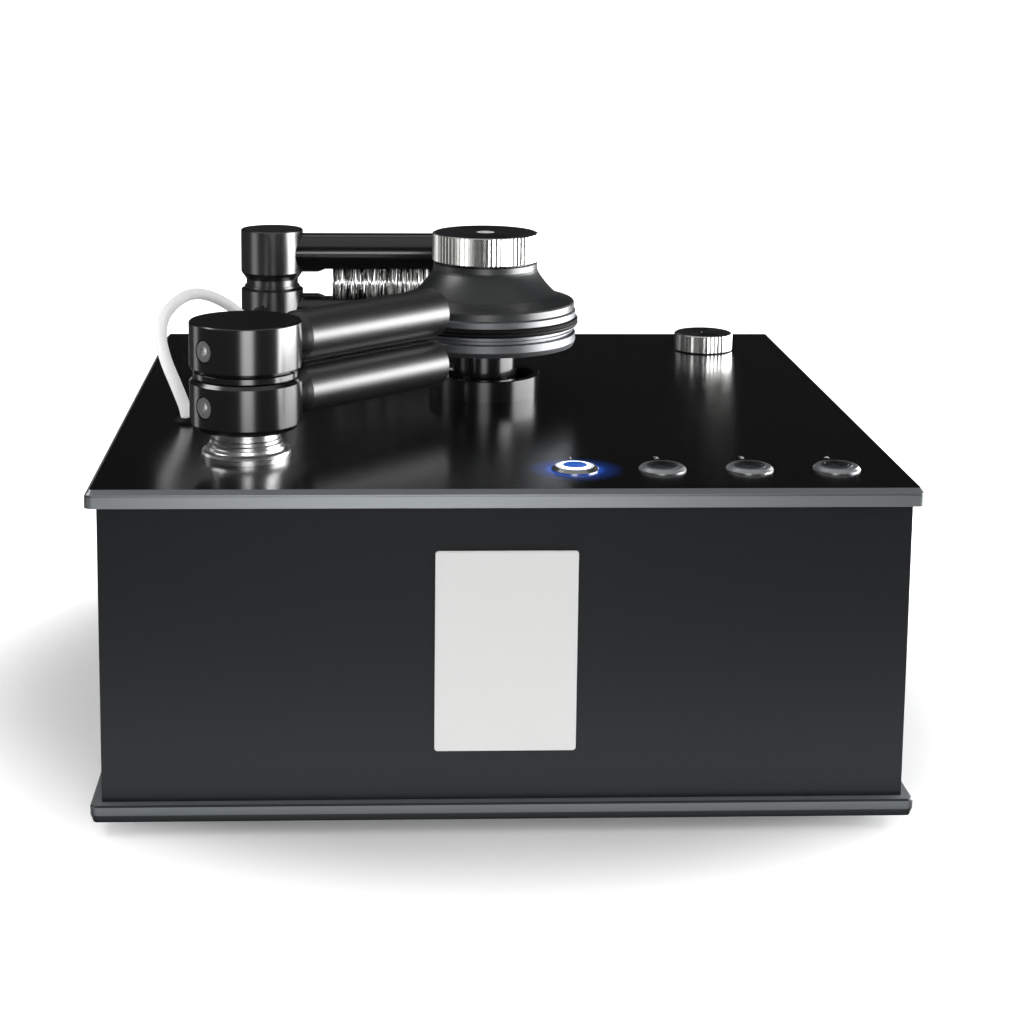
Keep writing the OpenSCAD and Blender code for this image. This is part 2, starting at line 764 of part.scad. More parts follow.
module inner_hoses() {
    waste_air_z = floor_z + 76;
    liquid_top_z = floor_z + waste_h + 10;
    bypass_x = waste_left + waste_w + 12;
    bypass_y = front_y + pump_front + pump_d - 5;
    air_x = turbine_x - turbine_r - turbine_nozzle_l - 38;
    feed_y = front_y + clean_front + 19;
    color(milky) {
        // Suction post to waste tank
        pipe_run([
            [-suction_post_x, front_y + suction_post_depth, deck_z + post_outlet_h - face_gap],
            [-suction_post_x, front_y + suction_post_depth, waste_air_z],
            [-suction_post_x, front_y + waste_depth_front, waste_air_z]
        ], suction_hose_r);
        // Waste tank to turbine
        pipe_run([
            [waste_left + waste_w, front_y + turbine_depth, waste_air_z],
            [air_x, front_y + turbine_depth, waste_air_z],
            [air_x, front_y + turbine_depth, turbine_nozzle_z],
            [turbine_x - turbine_r - turbine_nozzle_l, front_y + turbine_depth, turbine_nozzle_z]
        ], suction_hose_r);
        // Clean tank to pump
        pipe_run([
            [pump_left + pump_w, feed_y, pump_port_z],
            [clean_left, feed_y, pump_port_z]
        ], inner_liquid_r);
        // Pump to deck grommet
        pipe_run([
            [pump_left, bypass_y, pump_port_z],
            [bypass_x, bypass_y, pump_port_z],
            [bypass_x, bypass_y, liquid_top_z],
            [hose_route[0][0], bypass_y, liquid_top_z],
            [hose_route[0][0], hose_route[0][1], liquid_top_z],
            [hose_route[0][0], hose_route[0][1], ceiling_z - grommet_tail]
        ], inner_liquid_r);
    }
}

module dosing_pump() {
    color("#4a4d52")
    translate([pump_left, front_y + pump_front, floor_z]) {
        cube([pump_w, pump_d, pump_h - 14]);
        translate([pump_w / 2, 0, pump_h - 14]) rotate([-90, 0, 0]) cylinder(r = 12, h = pump_d, $fn = 48);
        // Mounting foot on each side
        translate([-3, 8, 0]) cube([pump_w + 6, 14, 3]);
    }
}

board_left = -52;
board_front = 22;
board_w = 80;
board_d = 78;
standoff_h = 8;

module control_board() {
    translate([board_left, front_y + board_front, floor_z]) {
        color("silver")
        for (x = [6, board_w - 6], y = [6, board_d - 6]) translate([x, y, 0])
            cylinder(r = 2.5, h = standoff_h, $fn = 24);
        color("darkgreen") translate([0, 0, standoff_h]) cube([board_w, board_d, 1.6]);
        color("dimgray") translate([0, 0, standoff_h + 1.6]) {
            // Relays, capacitors, transformer and terminal row
            for (i = [0 : 2]) translate([8 + i * 21, 56, 0]) cube([16, 14, 15]);
            for (i = [0 : 1]) translate([16 + i * 16, 38, 0]) cylinder(r = 6, h = 22, $fn = 48);
            translate([48, 22, 0]) cube([26, 24, 22]);
            translate([8, 2.5, 0]) cube([60, 8, 10]);
        }
    }
}

supply_w = 100;
supply_d = 54;
supply_h = 36;
supply_left = waste_left + waste_w + 16;
supply_front = inner_rear_y - front_y - 16 - supply_d;

module power_supply() {
    color("#b5b8ba")
    translate([supply_left, front_y + supply_front, floor_z]) difference() {
        cube([supply_w, supply_d, supply_h]);
        for (i = [0 : 9]) translate([10 + 8 * i, 10, supply_h - 1.5]) cube([3, supply_d - 20, 3]);
    }
}

lantern_r = 20;
lantern_wall = 3;
bearing_low_h = -34;
lantern_low_h = -60;
gearbox_h = 22;
motor_h = 46;
motor_shaft_r = 4;

module gear_motor() {
    at_spindle() {
        color("silver") difference() {
            translate([0, 0, lantern_low_h])
                ring(lantern_r, lantern_r - lantern_wall, bearing_low_h - lantern_low_h);
            for (a = [0, 90]) rotate([0, 0, a]) translate([0, 0, (bearing_low_h + lantern_low_h) / 2])
                cube([60, 14, 16], center = true);
        }
        color("#8d9094") difference() {
            union() {
                translate([0, 0, lantern_low_h - gearbox_h]) cylinder(r = lantern_r - 1, h = gearbox_h);
                translate([0, 0, lantern_low_h - gearbox_h - motor_h])
                    cylinder(r = lantern_r - 2, h = motor_h);
            }
            translate([0, 0, lantern_low_h - 8]) cylinder(r = motor_shaft_r + run_gap, h = 20, $fn = 32);
        }
    }
}

// Platter stack

shaft_r = drive_shaft_d / 2;
pin_r = record_pin_d / 2;
platter_r = platter_d / 2;
platter_top_h = record_h - seal_t;
platter_low_h = platter_top_h - platter_h;
column_top_h = platter_low_h - face_gap;
column_r = bearing_column_d / 2;
dish_r = bearing_dish_d / 2;

module bearing_housing() {
    color(black_anodised)
    at_spindle() difference() {
        turned([
            [shaft_r + run_gap, bearing_low_h], [lantern_r, bearing_low_h], [lantern_r, bearing_low_h + 8],
            [bearing_spigot_r, bearing_low_h + 8], [bearing_spigot_r, 0], [dish_r, 0],
            [dish_r, bearing_dish_h - 0.4], [dish_r - 0.4, bearing_dish_h],
            [dish_r - dish_wall, bearing_dish_h], [dish_r - dish_wall, dish_floor_h],
            [column_r, dish_floor_h], [column_r, bearing_dish_h + 1], [column_r - 0.4, bearing_dish_h + 1.2],
            [column_r - 0.4, bearing_dish_h + 1.6], [column_r, bearing_dish_h + 1.8],
            [column_r, column_top_h - 0.5], [column_r - 0.5, column_top_h], [shaft_r + run_gap, column_top_h]
        ]);
        translate([0, 0, -1]) around_bearing()
            cylinder(r = bearing_screw_r + fit_gap, h = dish_floor_h + 2, $fn = 24);
    }
}

shaft_step_h = platter_top_h - 3.4;
pin_top_h = record_h + 22.5;
coupling_r = 12;
coupling_top_h = bearing_low_h - 2;
coupling_low_h = lantern_low_h + face_gap;
shaft_low_h = coupling_top_h - 12;
motor_shaft_top_h = coupling_low_h + 8;

module drive_shaft() {
    at_spindle() {
        color(bright_steel) turned([
            [0, shaft_low_h], [shaft_r, shaft_low_h], [shaft_r, shaft_step_h], [pin_r, shaft_step_h],
            [pin_r, pin_top_h - 2], [pin_r - 1.5, pin_top_h], [0, pin_top_h]
        ]);
        // Coupling between the two shafts
        color("silver") turned([
            [motor_shaft_r + fit_gap, coupling_low_h], [coupling_r, coupling_low_h],
            [coupling_r, coupling_top_h], [shaft_r + fit_gap, coupling_top_h],
            [shaft_r + fit_gap, shaft_low_h - fit_gap], [motor_shaft_r + fit_gap, shaft_low_h - fit_gap]
        ]);
        // Output shaft of the gear motor
        color(bright_steel) translate([0, 0, lantern_low_h - 7.5])
            cylinder(r = motor_shaft_r, h = motor_shaft_top_h - lantern_low_h + 7.5, $fn = 32);
    }
}

groove_depth = 2.6;
platter_ring_h = 6.6;

module platter() {
    color(black_anodised)
    at_spindle(platter_low_h) turned([
        [shaft_r + fit_gap, 0], [platter_r - 1, 0], [platter_r, 2.5], [platter_r, platter_ring_h - 0.3],
        [platter_r - 0.3, platter_ring_h], [platter_r - groove_depth, platter_ring_h],
        [platter_r - groove_depth, platter_ring_h + 1.2], [platter_r - 1.1, platter_ring_h + 1.2],
        [platter_r - 1.1, platter_ring_h + 1.7], [platter_r - groove_depth, platter_ring_h + 1.7],
        [platter_r - groove_depth, platter_h - 0.7], [platter_r, platter_h - 0.7],
        [platter_r, platter_h], [pin_r + fit_gap, platter_h],
        [pin_r + fit_gap, shaft_step_h + fit_gap - platter_low_h],
        [shaft_r + fit_gap, shaft_step_h + fit_gap - platter_low_h]
    ]);
}

// Rubber ring with a bulging rim, open in the middle for the record's label
seal_bulge = 1.3;
seal_in_r = platter_r - 9;

module seal_ring() {
    turned([
        [seal_in_r, 0], [platter_r, 0], [platter_r + seal_bulge * 0.7, seal_t * 0.25],
        [platter_r + seal_bulge, seal_t * 0.6], [platter_r + seal_bulge * 0.8, seal_t],
        [seal_in_r, seal_t]
    ]);
}

module platter_seal() {
    color(rubber_black) at_spindle(platter_top_h) seal_ring();
}

clamp_seal_h = record_h + face_gap;
clamp_plate_h = clamp_seal_h + seal_t;
clamp_plate_t = 3.7;
clamp_cone_low_h = clamp_plate_h + clamp_plate_t;
clamp_knob_low_h = clamp_cone_low_h + clamp_cone_h + face_gap;
knob_spigot_r = 9;
knob_spigot_l = 14;

module clamp_seal() {
    color(rubber_black)
    at_spindle(clamp_plate_h) mirror([0, 0, 1]) seal_ring();
}

module clamp_plate() {
    color(black_anodised)
    at_spindle(clamp_plate_h) turned([
        [pin_r + run_gap, 0], [platter_r - 0.3, 0], [platter_r, 0.3], [platter_r, clamp_plate_t - 0.5],
        [platter_r - 0.5, clamp_plate_t], [pin_r + run_gap, clamp_plate_t]
    ]);
}

// Flared cone: a straight neck that sweeps out into a thin flange
flange_r = platter_r - 0.8;
flange_h = 3.8;
flare_foot_r = 36.6;
flare_foot_h = 9;
flare_steps = 10;
neck_r = clamp_neck_d / 2;

// Concave flare from the flange's foot to the neck, drawn as a quarter of an ellipse-like curve
function flare_point(t) = [
    neck_r + (flare_foot_r - neck_r) * pow(1 - t, 1.35),
    flare_foot_h + (clamp_cone_h - 3 - flare_foot_h) * t
];

module clamp_cone() {
    spigot_seat = clamp_cone_h - knob_spigot_l;
    color(black_satin)
    at_spindle(clamp_cone_low_h) turned(concat(
        [[pin_r + run_gap, 0], [flange_r + 0.3, 0], [flange_r, 0.4], [flange_r, flange_h],
         [flange_r - 0.4, flange_h + 0.7], [flange_r - 1.4, flange_h + 1.2], [flange_r - 5.5, flange_h + 2.4],
         [flare_foot_r + 1.6, flare_foot_h - 1.3]],
        [for (i = [0 : flare_steps]) flare_point(i / flare_steps)],
        [[neck_r, clamp_cone_h], [knob_spigot_r + run_gap, clamp_cone_h],
         [knob_spigot_r + run_gap, spigot_seat], [pin_r + run_gap, spigot_seat]]
    ));
}

knob_disc_t = 1.4;
knob_disc_r = clamp_knob_d / 2 - 1.3;
knob_boss_r = 4.65;

module clamp_knob() {
    color(bright_steel)
    at_spindle(clamp_knob_low_h) difference() {
        union() {
            knurled_drum(clamp_knob_d / 2, clamp_knob_h, clamp_knob_ribs, 0.55, 1.2, 0.4);
            translate([0, 0, -knob_spigot_l]) cylinder(r = knob_spigot_r, h = knob_spigot_l + 1);
        }
        // Seat of the top disc, with the boss left standing in its middle
        translate([0, 0, clamp_knob_h - knob_disc_t]) ring(knob_disc_r, knob_boss_r, knob_disc_t + 1);
        // Collet bore for the record pin
        translate([0, 0, -knob_spigot_l - 1]) cylinder(r = pin_r + run_gap, h = 12, $fn = 48);
    }
}

module clamp_knob_disc() {
    color(black_anodised)
    at_spindle(clamp_knob_low_h + clamp_knob_h - knob_disc_t)
        ring(knob_disc_r - fit_gap, knob_boss_r + fit_gap, knob_disc_t);
}

// Suction arm

post_tube_r = 11;
post_bore_r = 7;
suction_hub_r = suction_hub_d / 2;
suction_hub_low_h = 14;
suction_hub_split = 4;
suction_mid_h = record_h;
suction_lower_top_h = suction_mid_h - suction_hub_split / 2;
suction_upper_low_h = suction_mid_h + suction_hub_split / 2;
suction_upper_top_h = 64;
hub_cap_t = 4;
tube_r = suction_tube_d / 2;
tube_spigot_r = 8;
tube_channel_r = 5.5;
tube_root = 13;
tube_shoulder = 6;
hub_screw_out = suction_hub_r - 0.6;
hub_screw_head_r = 4.8;
hub_screw_head_h = 5;
hub_screw_r = 3;

module suction_post_base() {
    flange_r = suction_flange_d / 2;
    color(bright_steel)
    at_suction_post() {
        turned([
            [post_tube_r + run_gap, -26], [suction_spigot_r, -26], [suction_spigot_r, 0], [flange_r, 0],
            [flange_r, 2.2], [flange_r - 0.5, 3.4], [flange_r - 1.6, 4], [flange_r - 2.6, 4.2],
            [flange_r - 2.8, 5.6], [17, 5.8], [17, 7.2], [16.2, 7.6], [16.2, 9], [15.8, 9.4],
            [15.8, 11.2], [15.2, 11.4], [15.2, 11.9], [15.8, 12.1],
            [15.8, suction_hub_low_h - face_gap], [post_tube_r + run_gap, suction_hub_low_h - face_gap]
        ]);
        // Lock nut under the deck
        translate([0, 0, -plate_t - 7]) difference() {
            cylinder(r = 21, h = 7, $fn = 6);
            translate([0, 0, -1]) cylinder(r = suction_spigot_r + fit_gap, h = 9);
        }
    }
}

module suction_post_tube() {
    color(black_anodised)
    at_suction_post() difference() {
        turned([
            [post_bore_r, post_outlet_h], [post_tube_r + 2, post_outlet_h],
            [post_tube_r + 2, -26 - face_gap], [post_tube_r, -26 - face_gap],
            [post_tube_r, suction_lower_top_h], [suction_hub_r - 2.4, suction_lower_top_h],
            [suction_hub_r - 1.8, suction_lower_top_h + 0.8],
            [suction_hub_r - 1.8, suction_upper_low_h - 0.8],
            [suction_hub_r - 2.4, suction_upper_low_h], [post_tube_r, suction_upper_low_h],
            [post_tube_r, suction_upper_top_h - hub_cap_t], [post_bore_r, suction_upper_top_h - hub_cap_t]
        ]);
        for (side = [-1, 1])
            rotate([0, 0, suction_angle]) translate([0, 0, suction_mid_h + side * suction_tube_lift])
                rotate([0, 90, 0]) cylinder(r = tube_channel_r, h = 20, $fn = 48);
    }
}

// Bores of a hub for its tube and for the screw opposite, at one height
module hub_bores(h) {
    rotate([0, 0, suction_angle]) translate([post_tube_r - 1, 0, h]) rotate([0, 90, 0])
        cylinder(r = tube_spigot_r + fit_gap, h = suction_hub_r, $fn = 64);
    rotate([0, 0, suction_angle + 180]) translate([post_tube_r - 1, 0, h]) rotate([0, 90, 0]) {
        cylinder(r = hub_screw_r + fit_gap, h = suction_hub_r, $fn = 32);
        translate([0, 0, hub_screw_out - hub_screw_head_h - post_tube_r + 1])
            cylinder(r = hub_screw_head_r + 0.5, h = suction_hub_r, $fn = 48);
    }
}

module suction_hub_lower() {
    color(black_anodised)
    at_suction_post() difference() {
        turned([
            [post_tube_r + fit_gap, suction_hub_low_h], [suction_hub_r - 3, suction_hub_low_h],
            [suction_hub_r, suction_hub_low_h + 3], [suction_hub_r, suction_lower_top_h - 1.6],
            [suction_hub_r - 1.4, suction_lower_top_h], [post_tube_r + fit_gap, suction_lower_top_h]
        ]);
        hub_bores(suction_mid_h - suction_tube_lift);
    }
}

module suction_hub_upper() {
    color(black_anodised)
    at_suction_post() difference() {
        turned([
            [post_tube_r + fit_gap, suction_upper_low_h], [suction_hub_r - 1.4, suction_upper_low_h],
            [suction_hub_r, suction_upper_low_h + 1.6], [suction_hub_r, suction_upper_top_h - 0.5],
            [suction_hub_r - 0.5, suction_upper_top_h], [0, suction_upper_top_h],
            [0, suction_upper_top_h - hub_cap_t + fit_gap],
            [post_tube_r + fit_gap, suction_upper_top_h - hub_cap_t + fit_gap]
        ]);
        hub_bores(suction_mid_h + suction_tube_lift);
    }
}

slit_start = 36;
slit_end = suction_reach - 4;

// Upper suction tube along +X from the post, with the record's plane at height 0
module suction_tube() {
    difference() {
        union() {
            difference() {
                translate([0, 0, suction_tube_lift]) rotate([0, 90, 0]) turned([
                    [0, suction_hub_r - 8], [tube_r - 2, suction_hub_r - 8], [tube_r - 2, suction_hub_r],
                    [tube_r - 0.7, suction_hub_r + tube_shoulder * 0.55],
                    [tube_r, suction_hub_r + tube_shoulder],
                    [tube_r, suction_reach - 0.8], [tube_r - 0.8, suction_reach], [0, suction_reach]
                ]);
                cylinder(r = suction_hub_r + fit_gap, h = 100, center = true);
            }
            translate([tube_root, 0, suction_tube_lift]) rotate([0, 90, 0])
                cylinder(r = tube_spigot_r, h = suction_hub_r + 1 - tube_root, $fn = 64);
        }
        // Channel, slit and the milled face that meets the record
        translate([tube_root - 1, 0, suction_tube_lift]) rotate([0, 90, 0])
            cylinder(r = tube_channel_r, h = slit_end - tube_root + 1, $fn = 48);
        translate([slit_start, -suction_slit_w / 2, 0])
            cube([slit_end - slit_start, suction_slit_w, suction_tube_lift]);
        translate([suction_hub_r, -tube_r, -1]) cube([suction_reach, 2 * tube_r, suction_gap / 2 + 1]);
    }
}

module at_suction_arm() {
    at_suction_post(suction_mid_h) rotate([0, 0, suction_angle]) children();
}

module suction_tube_upper() {
    color(black_anodised) at_suction_arm() suction_tube();
}

module suction_tube_lower() {
    color(black_anodised) at_suction_arm() mirror([0, 0, 1]) suction_tube();
}

pad_t = 1;
pad_w = 6;

module suction_pads() {
    color("#101010")
    at_suction_arm() for (side = [0, 1]) mirror([0, 0, side])
        translate([slit_start - 2, 0, suction_gap / 2 - pad_t]) difference() {
            translate([0, -pad_w / 2, 0]) cube([slit_end - slit_start + 4, pad_w, pad_t]);
            translate([2, -suction_slit_w / 2, -1]) cube([slit_end - slit_start, suction_slit_w, pad_t + 2]);
        }
}

module suction_hub_screws() {
    color(bright_steel)
    at_suction_post(suction_mid_h) for (side = [-1, 1])
        rotate([0, 0, suction_angle + 180]) translate([hub_screw_out, 0, side * suction_tube_lift])
            rotate([0, 90, 0])
                socket_screw(hub_screw_r, hub_screw_out - hub_screw_head_h - post_tube_r - 0.2,
                             hub_screw_head_r, hub_screw_head_h);
}

// Brush arm

brush_hub_r = brush_hub_d / 2;
brush_shaft_r = 8;
brush_hub_low_h = 9;
brush_neck_r = 15;
brush_neck_half = 1.9;
brush_cone_h = 4.3;
brush_hub_top_h = 71.3;
bar_r = brush_bar_d / 2;
bar_spigot_r = 6;
bar_flat = 9.1;
bar_flat_start = 31;
bar_flat_slope = 5;

module brush_post_base() {
    flange_r = suction_flange_d / 2;
    color(bright_steel)
    at_brush_post() {
        turned([
            [brush_shaft_r + run_gap, -26], [brush_spigot_r, -26], [brush_spigot_r, 0], [flange_r, 0],
            [flange_r, 2.2], [flange_r - 0.5, 3.4], [flange_r - 1.6, 4], [15.8, 4.2],
            [15.8, brush_hub_low_h - face_gap], [brush_shaft_r + run_gap, brush_hub_low_h - face_gap]
        ]);
        // Lock nut under the deck
        translate([0, 0, -plate_t - 7]) difference() {
            cylinder(r = 18, h = 7, $fn = 6);
            translate([0, 0, -1]) cylinder(r = brush_spigot_r + fit_gap, h = 9);
        }
    }
}

module brush_post_shaft() {
    color(bright_steel)
    at_brush_post() turned([
        [0, -32], [brush_shaft_r + 2, -32], [brush_shaft_r + 2, -26 - face_gap],
        [brush_shaft_r, -26 - face_gap], [brush_shaft_r, brush_hub_top_h - 8], [0, brush_hub_top_h - 8]
    ]);
}

module brush_hub() {
    cone_low_h = record_h + 0.8 + brush_neck_half;
    neck_low_h = record_h + 0.8 - brush_neck_half;
    color(black_anodised)
    at_brush_post() difference() {
        turned([
            [brush_shaft_r + fit_gap, brush_hub_low_h], [brush_hub_r - 1.5, brush_hub_low_h],
            [brush_hub_r, brush_hub_low_h + 1.5], [brush_hub_r, neck_low_h - 2.3],
            [brush_neck_r + 1, neck_low_h - 0.9], [brush_neck_r + 1, neck_low_h],
            [brush_neck_r, neck_low_h], [brush_neck_r, cone_low_h],
            [brush_hub_r, cone_low_h + brush_cone_h], [brush_hub_r, brush_hub_top_h - 0.6],
            [brush_hub_r - 0.6, brush_hub_top_h], [0, brush_hub_top_h],
            [0, brush_hub_top_h - 8 + fit_gap], [brush_shaft_r + fit_gap, brush_hub_top_h - 8 + fit_gap]
        ]);
        for (side = [-1, 1])
            translate([brush_shaft_r + 1, 0, record_h + side * brush_bar_lift]) rotate([0, 90, 0])
                cylinder(r = bar_spigot_r + fit_gap, h = brush_hub_r, $fn = 48);
        // Bore of the hose barb
        rotate([0, 0, barb_angle]) translate([brush_shaft_r + 1, 0, barb_h]) rotate([0, 90, 0])
            cylinder(r = barb_stem_r + fit_gap, h = brush_hub_r, $fn = 32);
    }
}

// Groove that holds the brush strip
strip_w = 10;
strip_t = 1.5;
strip_start = 33;
strip_end = brush_reach - 5;

// Upper brush bar along +X from the post, with the record's plane at height 0
module brush_bar() {
    difference() {
        union() {
            difference() {
                translate([0, 0, brush_bar_lift]) rotate([0, 90, 0]) turned([
                    [0, brush_hub_r - 8], [bar_r, brush_hub_r - 8], [bar_r, brush_reach - 1],
                    [bar_r - 1, brush_reach], [0, brush_reach]
                ]);
                cylinder(r = brush_hub_r + fit_gap, h = 100, center = true);
            }
            translate([brush_shaft_r + 2, 0, brush_bar_lift]) rotate([0, 90, 0])
                cylinder(r = bar_spigot_r, h = brush_hub_r - brush_shaft_r - 1, $fn = 48);
        }
        // Milled face with a short sloping run-out near the hub
        rotate([90, 0, 0]) linear_extrude(2 * bar_r + 2, center = true) polygon([
            [bar_flat_start - bar_flat_slope, 0], [brush_reach + 1, 0], [brush_reach + 1, bar_flat],
            [bar_flat_start, bar_flat], [bar_flat_start - bar_flat_slope, brush_bar_lift - bar_r - 0.2]
        ]);
        translate([strip_start - fit_gap, -strip_w / 2 - fit_gap, bar_flat - 1])
            cube([strip_end - strip_start + 2 * fit_gap, strip_w + 2 * fit_gap, strip_t + 1 + fit_gap]);
    }
}

module at_brush_arm() {
    at_brush_post(record_h) children();
}

module brush_bar_upper() {
    color(black_anodised) at_brush_arm() brush_bar();
}

module brush_bar_lower() {
    color(black_anodised) at_brush_arm() mirror([0, 0, 1]) brush_bar();
}

// One comb of bristles, cut from the strip's face down to its tips. Each bristle leans a little
// along the row and ends at its own height, and the leans stay smaller than the gaps.
bristle_w = 0.7;
bristle_t = 0.8;
bristle_lean = 0.3;
bristle_pitch = (strip_end - strip_start - 4) / bristles_per_row;
bristle_row_pitch = 2.3;
bristle_splay = 3;

function bristle_points(i, row) =
    let (x = strip_start + 2 + (i + 0.5) * bristle_pitch,
         lean = bristle_lean * sin(137 * i + 71 * row),
         short = 0.5 + 0.5 * sin(223 * i + 97 * row),
         tip = bar_flat - bristle_l + short)
    [[x - bristle_w / 2, bar_flat], [x + lean - bristle_w * 0.35, tip],
     [x + lean + bristle_w * 0.35, tip], [x + bristle_w / 2, bar_flat]];

module bristle_row(row) {
    linear_extrude(bristle_t, center = true)
        polygon(concat(
            [[strip_start + 1, bar_flat + 0.5], [strip_start + 1, bar_flat]],
            [for (i = [0 : bristles_per_row - 1]) each bristle_points(i, row)],
            [[strip_end - 1, bar_flat], [strip_end - 1, bar_flat + 0.5]]
        ));
}

module brush_strip() {
    translate([strip_start, -strip_w / 2, bar_flat]) cube([strip_end - strip_start, strip_w, strip_t]);
    for (row = [0 : bristle_rows - 1]) {
        offset_y = (row - (bristle_rows - 1) / 2) * bristle_row_pitch;
        translate([0, offset_y, bar_flat]) rotate([offset_y * bristle_splay / bristle_row_pitch, 0, 0])
            translate([0, 0, -bar_flat]) rotate([90, 0, 0]) bristle_row(row);
    }
}

module bristles_upper() {
    color("#77787a") at_brush_arm() brush_strip();
}

module bristles_lower() {
    color("#77787a") at_brush_arm() mirror([0, 0, 1]) brush_strip();
}

// Liquid hose, from its grommet in the deck over to the barb on the brush hub

hose_d = 6;
barb_angle = 250;
barb_h = 24;
barb_stem_r = 2.2;
barb_out = 9;
grommet_tail = 3;
barb_tip = [
    -suction_post_x + (brush_hub_r + barb_out) * cos(barb_angle),
    front_y + brush_post_depth + (brush_hub_r + barb_out) * sin(barb_angle),
    deck_z + barb_h
];

// Route points, chosen by hand: right of the brush post, behind it and above the deck
hose_points = [
    [-33.5, -193.5, 2.5], [-34.8, -193, 8], [-39, -190.5, 18], [-44.3, -184.5, 29],
    [-47.7, -175, 38.5], [-47.8, -163, 45.8], [-45.2, -150, 50], [-41.6, -135.5, 52],
    [-38, -121, 52], [-34, -107, 50.3], [-29.5, -93.5, 47], [-25, -80.5, 42.5],
    [-21, -68, 37.5], [-17.7, -56, 32.5], [-15.2, -45, 27.8]
];
hose_route = concat(
    [for (p = hose_points)
        [p[0] - suction_post_x, front_y + brush_post_depth + p[1], deck_z + p[2]]],
    [[barb_tip[0] + 3 * cos(barb_angle), barb_tip[1] + 3 * sin(barb_angle), barb_tip[2]], barb_tip]
);
hose_sides = 10;

function unit(v) = v / norm(v);

// Direction of the route at a point: straight up at the grommet and into the barb at the far end
function route_heading(i, n) =
    i == 0 ? [0, 0, 1] :
    i == n - 1 ? unit(hose_route[n - 1] - hose_route[n - 2]) :
    unit(unit(hose_route[i + 1] - hose_route[i]) + unit(hose_route[i] - hose_route[i - 1]));

// Ring of points square to the route
function hose_ring(i, n, r) =
    let (t = route_heading(i, n), u = unit(cross(t, [1, 0.35, 0])), v = cross(t, u))
    [for (k = [0 : hose_sides - 1])
        hose_route[i] + r * (cos(360 * k / hose_sides) * u + sin(360 * k / hose_sides) * v)];

module liquid_hose() {
    n = len(hose_route);
    points = [for (i = [0 : n - 1]) each hose_ring(i, n, hose_d / 2)];
    sides = [for (i = [0 : n - 2], k = [0 : hose_sides - 1])
        let (a = i * hose_sides + k, b = i * hose_sides + (k + 1) % hose_sides)
            [a, b, b + hose_sides, a + hose_sides]];
    first = [for (k = [hose_sides - 1 : -1 : 0]) k];
    last = [for (k = [0 : hose_sides - 1]) (n - 1) * hose_sides + k];
    color(milky) polyhedron(points, concat(sides, [first, last]), convexity = 6);
}

module hose_grommet() {
    color(rubber_black)
    translate([hose_route[0][0], hose_route[0][1], deck_z]) turned([
        [1.5, -plate_t - grommet_tail], [grommet_r, -plate_t - grommet_tail], [grommet_r, 0],
        [grommet_r + 1.2, 0], [grommet_r + 1.2, 1], [grommet_r, 2.5], [1.5, 2.5]
    ]);
}

module hose_barb() {
    color(bright_steel)
    at_brush_post(barb_h) rotate([0, 0, barb_angle]) rotate([0, 90, 0]) turned([
        [0, brush_shaft_r + 2], [barb_stem_r, brush_shaft_r + 2], [barb_stem_r, brush_hub_r + 0.1],
        [4, brush_hub_r + 0.1], [4, brush_hub_r + 3], [2.6, brush_hub_r + 3.4],
        [2.6, brush_hub_r + 5.5], [3, brush_hub_r + 6], [2.6, brush_hub_r + barb_out],
        [0, brush_hub_r + barb_out]
    ]);
}

// Buttons

bezel_h = 1.9;
light_in_r = 5.6;
light_out_r = 7.2;
light_top_h = 2.3;
button_top_h = 2.5;
button_barrel_l = 26;
button_stem_r = 3;

module button_housings() {
    color(bright_steel)
    for (i = [0 : 3]) at_button(i) {
        turned([
            [light_out_r + fit_gap, bezel_h], [light_out_r + fit_gap, -4], [button_stem_r + run_gap, -4],
            [button_stem_r + run_gap, -button_barrel_l + 6], [0, -button_barrel_l + 6],
            [0, -button_barrel_l], [button_barrel_r, -button_barrel_l], [button_barrel_r, 0],
            [bezel_d / 2, 0], [bezel_d / 2, 0.5], [bezel_d / 2 - 1.2, bezel_h - 0.2],
            [bezel_d / 2 - 1.6, bezel_h]
        ]);
        // Lock nut under the deck
        translate([0, 0, -plate_t - 4]) difference() {
            cylinder(r = 12.5, h = 4, $fn = 6);
            translate([0, 0, -1]) cylinder(r = button_barrel_r + fit_gap, h = 6);
        }
    }
}

module button_light_rings() {
    color("#f2f6ff")
    for (i = [0 : 3]) at_button(i) turned([
        [light_in_r, -4], [light_out_r, -4], [light_out_r, light_top_h - 0.3],
        [light_out_r - 0.3, light_top_h], [light_in_r + 0.2, light_top_h], [light_in_r, light_top_h - 0.2]
    ]);
}

module push_button(index) {
    color(bright_steel)
    at_button(index) turned([
        [0, -button_barrel_l + 6 + button_travel + 0.6],
        [button_stem_r, -button_barrel_l + 6 + button_travel + 0.6],
        [button_stem_r, -4 + button_travel + 0.6], [light_in_r - run_gap, -4 + button_travel + 0.6],
        [light_in_r - run_gap, button_top_h - 0.3], [light_in_r - run_gap - 0.3, button_top_h],
        [light_in_r - 1.6, button_top_h - 0.1], [0, button_top_h - 0.5]
    ]);
}

module rotation_button() {
    push_button(0);
}

module direction_button() {
    push_button(1);
}

module liquid_button() {
    push_button(2);
}

module vacuum_button() {
    push_button(3);
}

